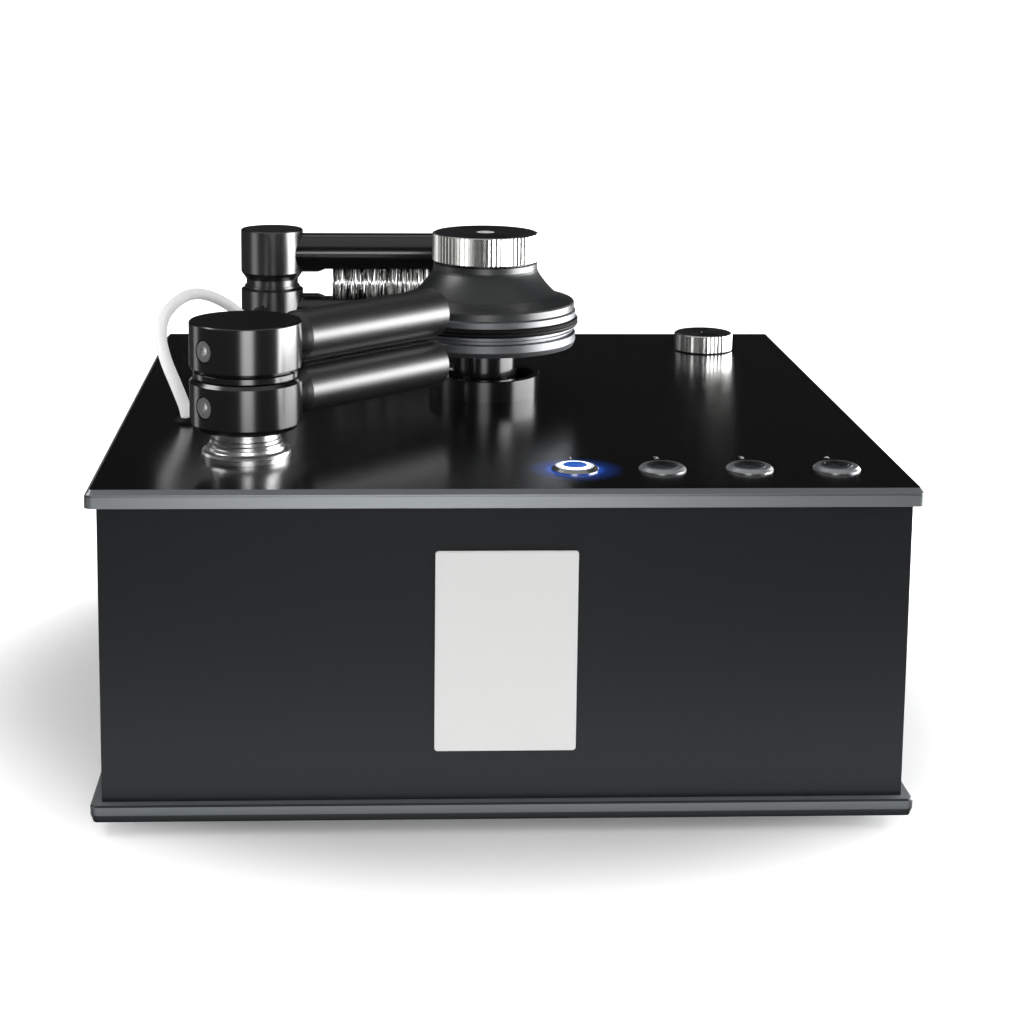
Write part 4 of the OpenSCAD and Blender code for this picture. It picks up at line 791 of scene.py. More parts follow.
@dataclass
class Softbox:
    """A lamp with a soft-edged face, which the camera doesn't see.

    at is the middle of its face and towards what it faces. width and height are its size,
    strength its brightness, and edge the share of each half that fades out. reflected tells
    whether it shows in glossy surfaces, and lights_matt whether it lights matt ones.
    """

    name: str
    at: Place
    towards: Place
    width: float
    height: float
    strength: float
    edge: float = 0.35
    reflected: bool = True
    lights_matt: bool = True

    def build(self) -> None:
        """Makes the lamp as a square of one metre, scaled to its size."""
        made = add_square(self.name, 0.5, new_material(f"{self.name} face", self.glow))
        look = Vector(self.towards) - Vector(self.at)
        turn = look.to_track_quat("Z", "Y").to_matrix().to_4x4()
        size = Matrix.Diagonal((self.width, self.height, 1, 1))
        made.matrix_world = Matrix.Translation(self.at) @ turn @ size
        made.visible_camera = False
        made.visible_shadow = False
        made.visible_glossy = self.reflected
        made.visible_diffuse = self.lights_matt

    def glow(self, graph: Graph) -> Node:
        """Builds the face's light, which fades towards the edges.

        Args:
            graph: the material's nodes.

        Returns:
            The shader.
        """
        split = add_node(graph.tree, "SeparateXYZ", {0: graph.place()})
        across, up = (
            graph.ramp(
                graph.number("ABSOLUTE", split.outputs[axis]), (1.0, 0.0),
                (0.5 * (1 - self.edge), 0.5), soft=True,
            )
            for axis in (0, 1)
        )
        # Only the face that looks at the object shines
        behind = add_node(graph.tree, "NewGeometry").outputs["Backfacing"]
        front = graph.ramp(behind, (self.strength, 0.0))
        power = graph.number("MULTIPLY", graph.number("MULTIPLY", across, up), front)
        return add_node(graph.tree, "Emission", {"Strength": power})


@dataclass
class Studio:
    """Camera, lamps, pale floor and backdrop.

    The camera stands where the photograph was taken from. Its angles are in radians: yaw to the
    right, pitch down. lens_mm, shift_x and shift_y are its lens.

    floor_half is half the floor's length. The floor has floor_lift of its white without light at
    floor_near from the object's middle, for the shadow's sake, and all of it at floor_far. In
    reflections it dims from room_from outwards to room_dark, since a room is dim beyond the set.

    The wall round the set is white up to backdrop_top, a share of the height of the sky.
    studio_dark is what metal reflects above it, and studio_fill what lights matt surfaces.
    """

    camera_at: Place = (-0.0601, -1.0986, 0.3921)
    yaw: float = 0.0399
    pitch: float = 0.1594
    roll: float = -0.0077
    lens_mm: float = 74.3
    shift_x: float = 0.0535
    shift_y: float = -0.22
    floor_half: float = 40.0
    floor_colour: str = "#f4f4f4"
    floor_lift: float = 0.12
    floor_near: float = 0.21
    floor_far: float = 0.36
    room_from: float = 0.25
    room_dark: float = 0.04
    backdrop_top: float = 0.03
    studio_dark: float = 0.012
    studio_fill: float = 0.85
    lamps: tuple[Softbox, ...] = (
        Softbox("right_softbox", (0.6, 0.03, 0.15), (-0.05, 0.03, 0.15), 0.88, 0.4, 14.5, 0.25,
                lights_matt=False),
        Softbox("right_wash", (0.6, 0.05, 0.15), (-0.05, 0.05, 0.15), 0.82, 0.42, 6.0, 0.25,
                reflected=False),
        Softbox("front_softbox", (-0.04, -0.75, 0.2), (-0.04, 0.0, 0.2), 0.36, 0.44, 5.0, 0.6),
        Softbox("front_wash", (0.0, -0.75, 0.25), (0.0, 0.0, 0.1), 0.9, 0.4, 0.4, 0.5,
                reflected=False),
        Softbox("table_card", (0.0, -0.275, 0.004), (0.0, -0.275, 1.0), 1.0, 0.15, 4.2, 0.4,
                lights_matt=False),
        Softbox("left_wash", (-0.9, -0.3, 0.5), (-0.1, 0.0, 0.15), 0.9, 0.7, 1.4, 0.5,
                reflected=False),
        Softbox("left_card", (-0.4, -0.01, 0.165), (-0.118, 0.126, 0.2), 0.17, 0.24, 1.3, 0.5),
        Softbox("left_high", (-0.8, -0.1, 0.8), (-0.1, 0.0, 0.17), 0.6, 0.5, 5.5, 0.5),
        Softbox("ceiling_bounce", (0.0, -0.5, 1.8), (0.0, -0.4, 0.0), 3.2, 2.8, 0.38, 0.35),
        Softbox("rear_fill", (0.0, 1.15, 1.9), (0.0, 0.0, 0.1), 2.2, 0.8, 0.7, 0.5),
    )

    def build(self) -> None:
        """Makes the camera first, then floor, backdrop and lamps."""
        self.place_camera()
        add_square("floor", self.floor_half, new_material("white floor", self.floor_surface))
        self.hang_backdrop()
        for lamp in self.lamps:
            lamp.build()

    def place_camera(self) -> None:
        """Puts the camera at the photograph's place and sets it as the scene's."""
        lens = bpy.data.cameras.new("photo_camera")
        lens.lens = self.lens_mm
        lens.sensor_width = 36.0
        lens.shift_x, lens.shift_y = self.shift_x, self.shift_y
        lens.clip_start, lens.clip_end = 0.02, 200.0
        camera = add_object("photo_camera", lens)
        camera.location = self.camera_at
        camera.rotation_euler = (math.pi / 2 - self.pitch, self.roll, -self.yaw)
        bpy.context.scene.camera = camera

    @staticmethod
    def seen_directly(graph: Graph) -> NodeSocket:
        """A socket that is 1 for what the camera sees, also in metal or through glass.

        Args:
            graph: the nodes that need it.

        Returns:
            The socket.
        """
        path = add_node(graph.tree, "LightPath").outputs
        first = graph.number("MAXIMUM", path["Is Camera Ray"], path["Is Glossy Ray"])
        return graph.number("MAXIMUM", first, path["Is Transmission Ray"])

    def floor_surface(self, graph: Graph) -> Node:
        """Builds the white of the floor, which keeps the object's shadow.

        Args:
            graph: the material's nodes.

        Returns:
            The shader.
        """
        away = graph.vector("LENGTH", graph.place())
        near, far = (self.floor_near, self.floor_far), (self.room_from, 2 * self.room_from)
        white = graph.ramp(away, (self.floor_lift, 1.0), near, soft=True)
        dim = graph.ramp(away, (1.0, self.room_dark), far, soft=True)
        # Only what a surface reflects of the room is dim
        reflected = add_node(graph.tree, "LightPath").outputs["Is Glossy Ray"]
        share = graph.mixed(reflected, 1.0, dim)
        shown = graph.number("MULTIPLY", self.seen_directly(graph), white)
        return add_node(graph.tree, "BsdfPrincipled", {
            "Roughness": 1.0, "Specular IOR Level": 0.0, "Emission Color": (1, 1, 1, 1),
            "Base Color": graph.mixed_colour(share, (0, 0, 0, 1), linear(self.floor_colour)),
            "Emission Strength": graph.number("MULTIPLY", shown, share),
        })

    def hang_backdrop(self) -> None:
        """Sets the world: a low white wall all round, dark above it for all but the camera."""
        world = bpy.data.worlds.new("studio")
        bpy.context.scene.world = world
        graph = Graph(world)
        sky = add_node(graph.tree, "TexCoord").outputs["Generated"]
        rise = add_node(graph.tree, "SeparateXYZ", {0: sky}).outputs["Z"]
        edge = (self.backdrop_top * 0.5, self.backdrop_top)
        wall = graph.ramp(rise, (1.0, self.studio_dark), edge)
        seen = graph.mixed(self.seen_directly(graph), self.studio_fill, wall)
        by_camera = add_node(graph.tree, "LightPath").outputs["Is Camera Ray"]
        shine = {"Color": (1, 1, 1, 1), "Strength": graph.mixed(by_camera, seen, 1.0)}
        background = add_node(graph.tree, "Background", shine)
        add_node(graph.tree, "OutputWorld", {"Surface": background.outputs[0]})


# Sub-assemblies

FRONT_Y, DECK_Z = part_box("deck_plate")[0].y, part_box("deck_plate")[1].z
# Below this height the two posts show only their nuts
NUTS_Z = DECK_Z - 0.004


def on_deck(x: float, depth: float, height: float = 0.0) -> Vector:
    """A place from millimetres: x, distance from the deck's front edge, height above it."""
    return Vector((x * MM, FRONT_Y + depth * MM, DECK_Z + height * MM))


def middle(node: str) -> Vector:
    """The middle of a CAD node's box."""
    low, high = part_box(node)
    return (low + high) / 2


def level(above: float = -math.inf, below: float = math.inf) -> FaceTest:
    """A test of the faces whose centres lie above one height and below another."""
    return lambda c, n: (c[:, 2] > above) & (c[:, 2] < below)


def turned_at(finish: Finish, where: str, node: str) -> Finish:
    """The same finish, turned round the upright axis through the middle of a node."""
    return replace(finish, name=f"{finish.name}, {where}", axis_at=tuple(middle(node)))


def turned_along(node: str, heading: float, roughness: float) -> Finish:
    """Black anodised aluminium, turned round a bar whose heading is in degrees from X."""
    angle = math.radians(heading)
    return replace(
        BLACK_ANODISED, name=f"{BLACK_ANODISED.name}, {node}", roughness=roughness,
        axis_at=tuple(middle(node)), axis=(math.cos(angle), math.sin(angle), 0.0),
    )


@dataclass
class LiquidHose:
    """The milky hose from its grommet in the deck, over to the barb on the brush hub.

    post is the brush post: x, and its distance from the deck's front edge, in millimetres.
    route is from the post: to the right, to the rear and above the deck, as in the part's
    source. The barb ends barb_reach from the post, at barb_height above the deck, both in
    millimetres; barb_angle is its direction, in degrees.
    """

    diameter: float = 0.006
    bore: float = 0.0042
    sides: int = 28
    spacing: float = 0.0014
    barb_angle: float = 250.0
    barb_reach: float = 27.0
    barb_height: float = 24.0
    post: tuple[float, float] = (-118.0, 329.0)
    route: tuple[Place, ...] = (
        (-33.5, -193.5, 2.5), (-34.8, -193, 8), (-39, -190.5, 18), (-44.3, -184.5, 29),
        (-47.7, -175, 38.5), (-47.8, -163, 45.8), (-45.2, -150, 50), (-41.6, -135.5, 52),
        (-38, -121, 52), (-34, -107, 50.3), (-29.5, -93.5, 47), (-25, -80.5, 42.5),
        (-21, -68, 37.5), (-17.7, -56, 32.5), (-15.2, -45, 27.8),
    )

    def line(self) -> np.ndarray:
        """The hose's centreline, as points close together.

        Returns:
            The points, in metres.
        """
        angle = math.radians(self.barb_angle)
        out = Vector((math.cos(angle), math.sin(angle), 0))
        tip = on_deck(*self.post, self.barb_height) + out * self.barb_reach * MM
        x, depth = self.post
        knots = [on_deck(x + p[0], depth + p[1], p[2]) for p in self.route]
        # The hose leaves the barb straight for 3 mm
        knots += [tip + out * 3 * MM, tip]
        return smooth_line(np.array(knots), self.spacing)

    def build(self) -> None:
        line = self.line()
        points, faces = tube(line, self.diameter / 2, self.bore / 2, self.sides)
        hose = new_piece("liquid_hose_tube", points, faces, SILICONE_PAINTED_GLOW)
        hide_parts("liquid_hose")
        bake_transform(hose)


def smooth_line(knots: np.ndarray, spacing: float) -> np.ndarray:
    """A smooth curve through points, cut into steps of about one length.

    Args:
        knots: the points that the curve passes.
        spacing: the length of a step.

    Returns:
        The curve's points.
    """
    ends = np.vstack([2 * knots[0] - knots[1], knots, 2 * knots[-1] - knots[-2]])
    curve = [knots[0]]
    for i in range(1, len(ends) - 2):
        before, start, end, after = ends[i - 1:i + 3]
        steps = max(1, int(round(float(np.linalg.norm(end - start)) / spacing)))
        for k in range(1, steps + 1):
            t = k / steps
            curve.append(
                0.5 * (
                    2 * start + (end - before) * t
                    + (2 * before - 5 * start + 4 * end - after) * t ** 2
                    + (3 * start - before - 3 * end + after) * t ** 3
                )
            )
    return np.array(curve)


def tube(line: np.ndarray, outer: float, inner: float, sides: int) -> tuple:
    """A tube along a line, with its wall and its two cut ends.

    Args:
        line: the centreline's points.
        outer: the outer radius.
        inner: the radius of the bore.
        sides: faces round the tube.

    Returns:
        Its points and its faces.
    """
    heading = np.gradient(line, axis=0)
    heading /= np.linalg.norm(heading, axis=1, keepdims=True)
    # Any direction will do that isn't near the hose's own at its start
    side = np.cross(heading[0], (1.0, 0.35, 0.0))
    side /= np.linalg.norm(side)
    turn = (2 * math.pi * np.arange(sides) / sides)[:, None]
    rings = []
    for point, along in zip(line, heading):
        side = side - along * float(side @ along)
        side /= np.linalg.norm(side)
        circle = np.cos(turn) * side + np.sin(turn) * np.cross(along, side)
        rings.append([point + outer * circle, point + inner * circle])
    number = np.arange(len(line) * 2 * sides).reshape(-1, 2, sides)
    outside, inside = number[:, 0], number[:, 1]
    # The rings run out along the outside, back along the bore and close at the start
    way_round = np.concatenate([outside, inside[::-1], outside[:1]])
    return np.array(rings).reshape(-1, 3), walls(way_round[None])


@dataclass
class Cabinet:
    """Deck, bottom plate, panels, blank front plate, feet and posts.

    A plate's edge reaches edge_band in from its outline, and its faces point up or down by less
    than flat. The rings round the lit button on the deck are a painted glow: emission on a deck
    that is no lamp.
    """

    edge_band: float = 0.012
    flat: float = 0.97
    deck_painted_glow: tuple[Place, ...] = ((0.0150, 0.0045, 0.62), (0.0235, 0.010, 0.2))

    def build(self) -> None:
        """Dresses the cabinet's nodes."""
        # Painted glow: blue emission on the deck's lacquer round the lit button, standing for the
        # ring's light on it
        deck_with_painted_glow = replace(
            LACQUER, name="rubbed black lacquer, deck", glow_at=tuple(middle("rotation_button")),
            rings=self.deck_painted_glow,
        )
        self.dress_plate("deck_plate", deck_with_painted_glow, MILLED_EDGE)
        self.dress_plate("bottom_plate", PLATE_PAINTED_SHEEN, DARK_EDGE)
        dress_all({f"{side}_panel": POWDER_COAT for side in ("front", "left", "right", "rear")})
        dress_all({
            "front_badge": PEARL_PLATE, "corner_posts": MILL_ALUMINIUM,
            "machine_screws": ZINC_PLATE, "rubber_feet": NITRILE,
        })

    def dress_plate(self, node: str, finish: Finish, edge: Finish) -> None:
        """Gives a plate its finish, and another one to its milled edge.

        Args:
            node: the plate's node.
            finish: the finish of its top and bottom.
            edge: the finish of its edge.
        """
        centre, high = middle(node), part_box(node)[1]
        reach = (high - centre).xy - Vector((self.edge_band, self.edge_band))

        def on_edge(c: np.ndarray, n: np.ndarray) -> np.ndarray:
            """A test of the faces that lie near the outline and not flat."""
            outer = (np.abs(c[:, :2] - centre.xy) > reach).any(axis=1)
            return outer & (np.abs(n[:, 2]) < self.flat)

        dress(node, finish, (edge, on_edge))


@dataclass
class PlatterStack:
    """Bearing, platter, clamp and knob, all turned round the spindle.

    screw_radius and screw_depth bound the pale screw in the top of the knob. The motor's can
    ends at can_height and its gearbox at gears_height, from its lower end.
    """

    screw_radius: float = 0.006
    screw_depth: float = 0.003
    can_height: float = 0.046
    gears_height: float = 0.068

    def build(self) -> None:
        """Dresses the nodes on the spindle's axis."""
        anodised = turned_at(BLACK_ANODISED, "spindle", "platter")
        thin = replace(
            anodised, name="turned aluminium, thin black anodised, spindle", colour="#7c7e81",
            metallic=1.0, roughness=0.47, sockets=(),
        )
        dress_all({
            "bearing_housing": anodised, "platter": thin, "clamp_plate": thin,
            "platter_seal": NITRILE, "clamp_seal": NITRILE, "clamp_cone": MATT_ANODISED,
            "clamp_knob_disc": turned_at(SPUN_DISC, "knob", "clamp_knob"),
            "drive_shaft": turned_at(SATIN_STEEL, "spindle", "platter"),
        })
        spindle, screw = middle("platter"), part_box("clamp_knob")[1].z - self.screw_depth
        dress("clamp_knob", NICKEL_RIBS, (
            BLASTED_STEEL,
            lambda c, n: (off_axis(c, spindle) < self.screw_radius) & (c[:, 2] > screw),
        ))
        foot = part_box("gear_motor")[0].z
        dress(
            "gear_motor", MOTOR_PAINT, (MILL_ALUMINIUM, level(foot + self.gears_height)),
            (ZINC_PLATE, level(foot + self.can_height, foot + self.gears_height)),
        )


@dataclass
class SuctionArm:
    """Front post with its two hubs and slotted tubes, and the velvet beside the slits.

    The sizes of the velvet are those of its CAD node: reach from the post to its start and its
    end, width over both strips, thickness, slit between them and gap from the upper strips to
    the lower ones. backing_corner is the corner radius of the cloth as a share of its thickness.

    pile is the height of the hairs, of which each has between two shares, hair_width their
    thickness, inset how far they keep from the strip's ends, side_inset from its long sides, and
    lean how far they slant. angle is the arm's direction in degrees.
    """

    angle: float = 45.0
    start: float = 0.034
    end: float = 0.124
    width: float = 0.006
    slit: float = 0.002
    thickness: float = 0.001
    gap: float = 0.003
    backing_corner: float = 0.4
    pile: float = 0.00045
    shares: tuple[float, float] = (0.65, 0.95)
    hairs: int = 5200
    hair_width: float = 0.00022
    inset: float = 0.0005
    side_inset: float = 0.00015
    lean: float = 0.00016

    def build(self) -> None:
        """Dresses the arm's nodes and makes the velvet."""
        hub = "suction_hub_upper"
        anodised = turned_at(BLACK_ANODISED, "suction post", hub)
        dress_all(dict.fromkeys(("suction_hub_lower", hub, "suction_post_tube"), anodised))
        for node in ("suction_tube_lower", "suction_tube_upper"):
            dress(node, turned_along(node, self.angle, roughness=0.38))
        steel = turned_at(BUFFED_STEEL, "suction post", hub)
        dress("suction_post_base", steel, (ZINC_PLATE, level(below=NUTS_Z)))
        dress("suction_hub_screws", TUMBLED_STEEL)
        self.lay_velvet()

    def lay_velvet(self) -> None:
        """Makes the four velvet strips, two beside each slit, with their pile."""
        random = np.random.default_rng(11)
        post, angle = middle("suction_hub_upper"), math.radians(self.angle)
        offset = np.array([post.x, post.y, middle("suction_pads").z])
        strip_w, backing = (self.width - self.slit) / 2, self.thickness - self.pile
        share = self.hairs // 4
        for side, label in ((1, "upper"), (-1, "lower")):
            points, faces, roots, tips = [], [], [], []
            for row in (-1, 1):
                across = row * (self.slit + strip_w) / 2
                size = (self.end - self.start, strip_w, backing)
                bar, bar_faces = rounded_bar(size, backing * self.backing_corner)
                centre = ((self.start + self.end) / 2, across, side * (self.gap - backing) / 2)
                faces += [tuple(len(points) * len(bar) + i for i in f) for f in bar_faces]
                points.append(bar + np.array(centre))
                x = random.uniform(self.start + self.inset, self.end - self.inset, share)
                y = across + random.uniform(-0.5, 0.5, share) * (strip_w - 2 * self.side_inset)
                z = np.full(share, side * (self.gap / 2 - backing))
                root = np.stack([x, y, z], axis=1)
                slant = random.normal(0, self.lean, (share, 3))
                slant[:, 2] = -side * self.pile * random.uniform(*self.shares, share)
                roots.append(root)
                tips.append(root + slant)
            placed, root, tip = (
                turn_about(np.concatenate(each), angle) + offset for each in (points, roots, tips)
            )
            pile = Strands(
                root, tip, np.zeros((2 * share, 3)), random.random(2 * share), self.hair_width,
                stations=(0.0, 0.6, 1.0), taper=0.5,
            )
            strip = new_piece(f"velvet_backing_{label}", placed, faces, VELVET_BACKING)
            hair = pile.build(f"velvet_pile_{label}", VELVET_PILE)
            stand_in((strip, hair), "suction_arm", "suction_pads")


@dataclass
class BrushArm:
    """Rear post with its hub, two bars and the brushes that face each other.

    The sizes of a brush are those of its CAD node: where its strip starts and ends from the
    post, its width, thickness and corner radius, the height of its face from the record and the
    length of its hair. Hair stands in tufts, rows by pitch, from margin after the strip's start,
    each with a number of hairs that spread from the root radius to the tip radius.

    A tuft leans by about lean and is up to short_tuft shorter than hair_length and overreach
    together, and a hair up to short_hair shorter than its tuft. gather is how far a tuft opens,
    from least to most, fan how much wider the rows stand at the tips, and bend how far the
    middle of a hair strays. A hair's shade comes by tuft_shade from its tuft.
    """

    strip_start: float = 0.033
    strip_end: float = 0.107
    strip_width: float = 0.010
    strip_thickness: float = 0.0015
    strip_corner: float = 0.0003
    face_height: float = 0.0091
    hair_length: float = 0.0088
    overreach: float = 0.0004
    rows: int = 4
    row_pitch: float = 0.0023
    tuft_pitch: float = 0.0016
    margin: float = 0.0022
    hairs: int = 14
    root_radius: float = 0.0004
    tip_radius: float = 0.0006
    hair_width: float = 0.00026
    lean: float = 0.0006
    short_tuft: float = 0.0016
    short_hair: float = 0.001
    gather: tuple[float, float] = (0.25, 1.1)
    fan: float = 1.2
    bend: float = 0.00018
    tuft_shade: float = 0.85

    def build(self) -> None:
        """Dresses the arm's nodes and makes the brushes."""
        anodised = turned_at(BLACK_ANODISED, "brush post", "brush_hub")
        satin = replace(
            anodised, name="turned aluminium, satin black anodised, brush post", roughness=0.26,
            sockets=(("IOR", 2.2),),
        )
        dress_all({
            "brush_hub": satin, "brush_post_shaft": SATIN_STEEL, "hose_barb": NYLON,
            "hose_grommet": NITRILE,
        })
        for node in ("brush_bar_lower", "brush_bar_upper"):
            dress(node, turned_along(node, heading=0.0, roughness=0.2))
        steel = turned_at(BUFFED_STEEL, "brush post", "brush_hub")
        dress("brush_post_base", steel, (ZINC_PLATE, level(below=NUTS_Z)))
        self.fit_brushes()

    def fit_brushes(self) -> None:
        """Makes both brushes: the strip that slides into the bar, and its tufts of hair."""
        random = np.random.default_rng(23)
        post = middle("brush_hub")
        plane = (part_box("bristles_upper")[1].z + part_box("bristles_lower")[0].z) / 2
        origin = np.array([post.x, post.y, plane])
        size = (self.strip_end - self.strip_start, self.strip_width, self.strip_thickness)
        strip, faces = rounded_bar(size, self.strip_corner)
        centre = (self.strip_start + self.strip_end) / 2
        height = self.face_height + self.strip_thickness / 2
        for side, label in ((1, "upper"), (-1, "lower")):
            placed = strip + origin + np.array([centre, 0, side * height])
            back = new_piece(f"brush_back_{label}", placed, faces, NYLON)
            roots, tips, bends, shades = self.tufts(random)
            flip = np.array([1.0, 1.0, side])
            strands = Strands(
                roots * flip + origin, tips * flip + origin, bends * flip, shades, self.hair_width
            )
            hair = strands.build(f"brush_hair_{label}", BRISTLE_HAIR)
            stand_in((back, hair), "brush_arm", f"bristles_{label}")

    def tufts(self, random: np.random.Generator) -> tuple[np.ndarray, ...]:
        """Roots, tips, bends and shades of the hairs of an upper brush, from post and record.

        Args:
            random: the source of the hairs' places.

        Returns:
            Three arrays with a row for each hair, and its shade.
        """
        room = self.strip_end - self.strip_start - 2 * self.margin
        roots, tips, bends, shades = [], [], [], []
        for row in range(self.rows):
            # The rows are staggered by half a pitch
            start = self.strip_start + self.margin + (0.5 + 0.25 * (-1) ** row) * self.tuft_pitch
            y = (row - (self.rows - 1) / 2) * self.row_pitch
            for i in range(int(room / self.tuft_pitch)):
                x = start + i * self.tuft_pitch
                lean = random.normal(0, self.lean)
                gather = random.uniform(*self.gather)
                length = self.hair_length + self.overreach - self.short_tuft * random.random() ** 2
                shade = self.tuft_shade * random.random()
                angle = random.uniform(0, 2 * math.pi, self.hairs)
                out = np.sqrt(random.random(self.hairs))
                spread = np.stack([np.cos(angle) * out, np.sin(angle) * out], axis=1)
                root, tip = np.zeros((self.hairs, 3)), np.zeros((self.hairs, 3))
                root[:, :2] = (x, y) + spread * self.root_radius
                root[:, 2] = self.face_height
                tip[:, :2] = (x + lean, y * self.fan) + spread * self.tip_radius * gather
                reach = length - self.short_hair * random.random(self.hairs) ** 2
                tip[:, 2] = self.face_height - reach
                bend = random.normal(0, self.bend, (self.hairs, 3))
                bend[:, 2] = 0
                roots.append(root)
                tips.append(tip)
                bends.append(bend)
                shades.append(shade + (1 - self.tuft_shade) * random.random(self.hairs))
        return tuple(np.concatenate(each) for each in (roots, tips, bends, shades))


@dataclass
class ControlButtons:
    """Four push buttons with bezel, light ring and concave face; the first one's ring is lit, with
    a painted glow on its bezel and face.

    near_lit is the radius round the lit button within which its light shows. shoulder is the
    depth under the deck from which a housing is plain zinc. digit_height is the size of the plain
    numbers printed behind the bezels, ink their thickness, and digit_back how far behind the
    middle of a button they stand.
    """

    nodes: tuple[str, ...] = (
        "rotation_button", "direction_button", "liquid_button", "vacuum_button"
    )
    near_lit: float = 0.02
    shoulder: float = 0.0005
    digit_height: float = 0.0042
    digit_back: float = 0.0215
    ink: float = 0.00002

    def build(self) -> None:
        """Dresses the buttons and prints their numbers."""
        lit = middle(self.nodes[0])
        glow = GlowingFinish(
            "light guide, lit", "#f4f8ff", 0.3, marks_mm=1.0, marks_depth_mm=0.0,
            glow_colour="#dfe9ff", glow_at=tuple(lit), rings=((0.012, 0.0005, 3.0),),
        )
        bezel = replace(
            SATIN_STEEL, name="satin stainless steel, bezels", colour="#b9bbbd", metallic=0.85,
            marks=Marks.GRAINED, marks_depth_mm=0.0, roughness=0.34,
        )
        # Painted glow: emission on the steel bezel round the lit ring, where its light falls; the
        # bezel is no lamp
        bezel_painted_glow = GlowingFinish(
            "satin stainless steel, lit bezel", "#b9babc", 0.24, metallic=1.0,
            marks_mm=0.6, marks_depth_mm=0.003, rough_swing=0.05,
            glow_colour="#e9efff", glow_at=tuple(lit), rings=((0.0092, 0.0009, 0.9),),
        )
        # Painted glow: blue emission on the metal face of the lit button, which is no lamp
        face_painted_glow = GlowingFinish(
            "spun aluminium disc, painted blue glow", "#4a4c4f", 0.32, metallic=1.0, marks=Marks.TURNED,
            marks_mm=0.5, marks_depth_mm=0.003, axis_at=tuple(lit), glow_colour="#2a63cc",
            glow_at=tuple(lit), rings=((0.006, 0.0004, 0.85),),
        )

        def by_the_lit(c: np.ndarray, n: np.ndarray) -> np.ndarray:
            """A test of the faces round the lit button."""
            return off_axis(c, lit) < self.near_lit

        shoulder = DECK_Z - self.shoulder
        dress(
            "button_housings", bezel, (ZINC_PLATE, level(below=shoulder)),
            (bezel_painted_glow, lambda c, n: by_the_lit(c, n) & (c[:, 2] > shoulder)),
        )
        dress("button_light_rings", LIGHT_GUIDE, (glow, by_the_lit))
        for number, node in enumerate(self.nodes):
            dress(node, face_painted_glow if number == 0 else turned_at(SPUN_DISC, node, node))
            self.print_number(str(number + 1), middle(node))

    def print_number(self, text: str, button: Vector) -> None:
        """Prints a plain number on the deck behind a button.

        Args:
            text: the number.
            button: the middle of the button.
        """
        curve = bpy.data.curves.new(f"number_{text}", "FONT")
        curve.body = text
        # A digit of the built-in font is as high as its size over 1.4
        curve.size = self.digit_height * 1.4
        curve.align_x, curve.align_y = "CENTER", "CENTER"
        curve.extrude = self.ink
        drawn = add_object("drawn", curve)
        bpy.context.view_layer.update()
        seen = drawn.evaluated_get(bpy.context.evaluated_depsgraph_get())
        mesh = bpy.data.meshes.new_from_object(seen)
        bpy.data.objects.remove(drawn)
        mesh.materials.clear()
        mesh.materials.append(PRINT_INK.material())
        LOG.info("number %s: %d faces", text, len(mesh.polygons))
        printed = add_object(f"button_number_{text}", mesh)
        printed.location = (button.x, button.y + self.digit_back, DECK_Z + 1.5 * self.ink)
        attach(printed, "cabinet")


@dataclass
class FillerCap:
    """Ribbed cap of the clean liquid tank, with a spun disc in its top, and its neck.

    The disc lies at most disc_depth under the cap's top, and the ring seal between two depths
    under the deck's top.
    """

    disc_radius: float = 0.0158
    disc_depth: float = 0.0008
    seal_radius: float = 0.0098
    seal_depths: tuple[float, float] = (0.0045, 0.0075)

    def build(self) -> None:
        """Dresses the cap and its neck."""
        axis = middle("filler_cap")
        in_disc = level(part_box("filler_cap")[1].z - self.disc_depth)
        in_seal = level(DECK_Z - self.seal_depths[1], DECK_Z - self.seal_depths[0])
        dress(
            "filler_cap", NICKEL_RIBS,
            (turned_at(SPUN_DISC, "cap", "filler_cap"),
             lambda c, n: in_disc(c, n) & (off_axis(c, axis) < self.disc_radius)),
            (NITRILE, lambda c, n: in_seal(c, n) & (off_axis(c, axis) > self.seal_radius)),
        )
        dress("filler_neck", POLYETHYLENE)


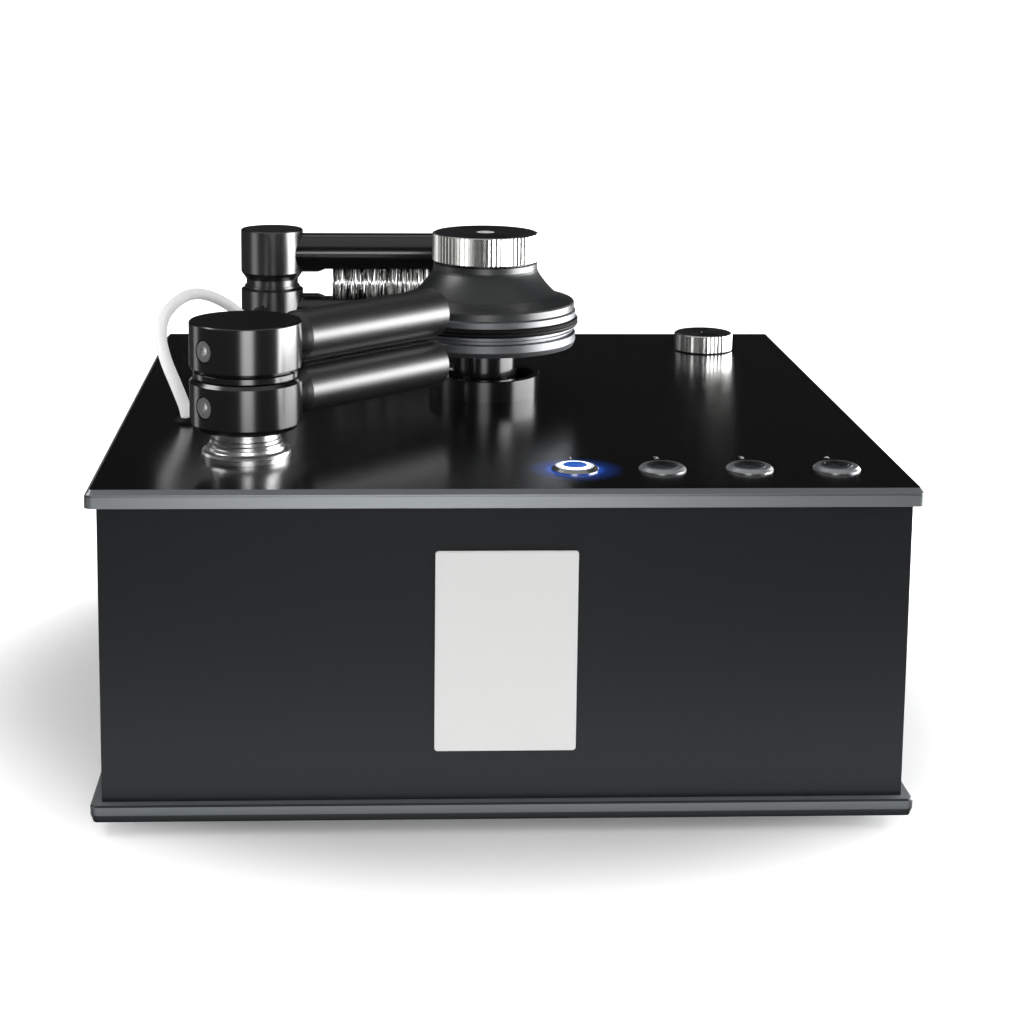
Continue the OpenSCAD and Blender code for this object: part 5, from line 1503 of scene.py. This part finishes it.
@dataclass
class RearFittings:
    """Mains inlet with its switch, fan and drain valve.

    pins_at is the middle of the inlet's three pins: x, depth from the inlet's rear end, and
    height. pins_reach is how far they reach from it.
    """

    pins_at: Place = (0.003, 0.0135, 0.076)
    pins_reach: Place = (0.0085, 0.007, 0.0045)

    def build(self) -> None:
        """Dresses the nodes on the rear panel."""
        x, depth, z = self.pins_at
        centre = (x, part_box("mains_inlet")[1].y - depth, z)

        def on_pins(c: np.ndarray, n: np.ndarray) -> np.ndarray:
            """A test of the faces of the pins."""
            return (np.abs(c - centre) < self.pins_reach).all(axis=1)

        dress("mains_inlet", NYLON, (VALVE_BRASS, on_pins))
        dress_all(dict.fromkeys(("power_rocker", "fan_frame", "fan_rotor"), NYLON))
        dress_all({"drain_valve": VALVE_BRASS, "drain_lever": RED_VINYL})


@dataclass
class Interior:
    """Tanks, turbine, pump, board and supply inside the cabinet.

    From their lower ends up, the turbine's motor starts at motor_height, and the board's laminate
    lies between two heights, on its standoffs and under its components.
    """

    motor_height: float = 0.053
    laminate: tuple[float, float] = (0.0079, 0.0097)

    def build(self) -> None:
        """Dresses the nodes that only show with a panel off."""
        dress_all({
            "clean_tank": POLYETHYLENE, "waste_tank": POLYETHYLENE, "inner_hoses": SILICONE,
            "dosing_pump": NYLON, "power_supply": GALVANISED,
        })
        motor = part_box("vacuum_turbine")[0].z + self.motor_height
        dress("vacuum_turbine", MILL_ALUMINIUM, (MOTOR_PAINT, level(motor)))
        under, over = (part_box("control_board")[0].z + height for height in self.laminate)
        dress(
            "control_board", NYLON, (SOLDER_MASK, level(under, over)),
            (MILL_ALUMINIUM, level(below=under)),
        )


def main() -> None:
    """Builds the studio and each sub-assembly in order."""
    logging.basicConfig(level=logging.INFO, format="%(name)s %(message)s")
    bpy.context.scene.view_settings.view_transform = "Standard"
    parts = (
        Studio(), LiquidHose(), Cabinet(), PlatterStack(), SuctionArm(), BrushArm(),
        ControlButtons(), FillerCap(), RearFittings(), Interior(),
    )
    for part in parts:
        part.build()
        LOG.info("%s done", type(part).__name__)


if __name__ == "__main__":
    main()
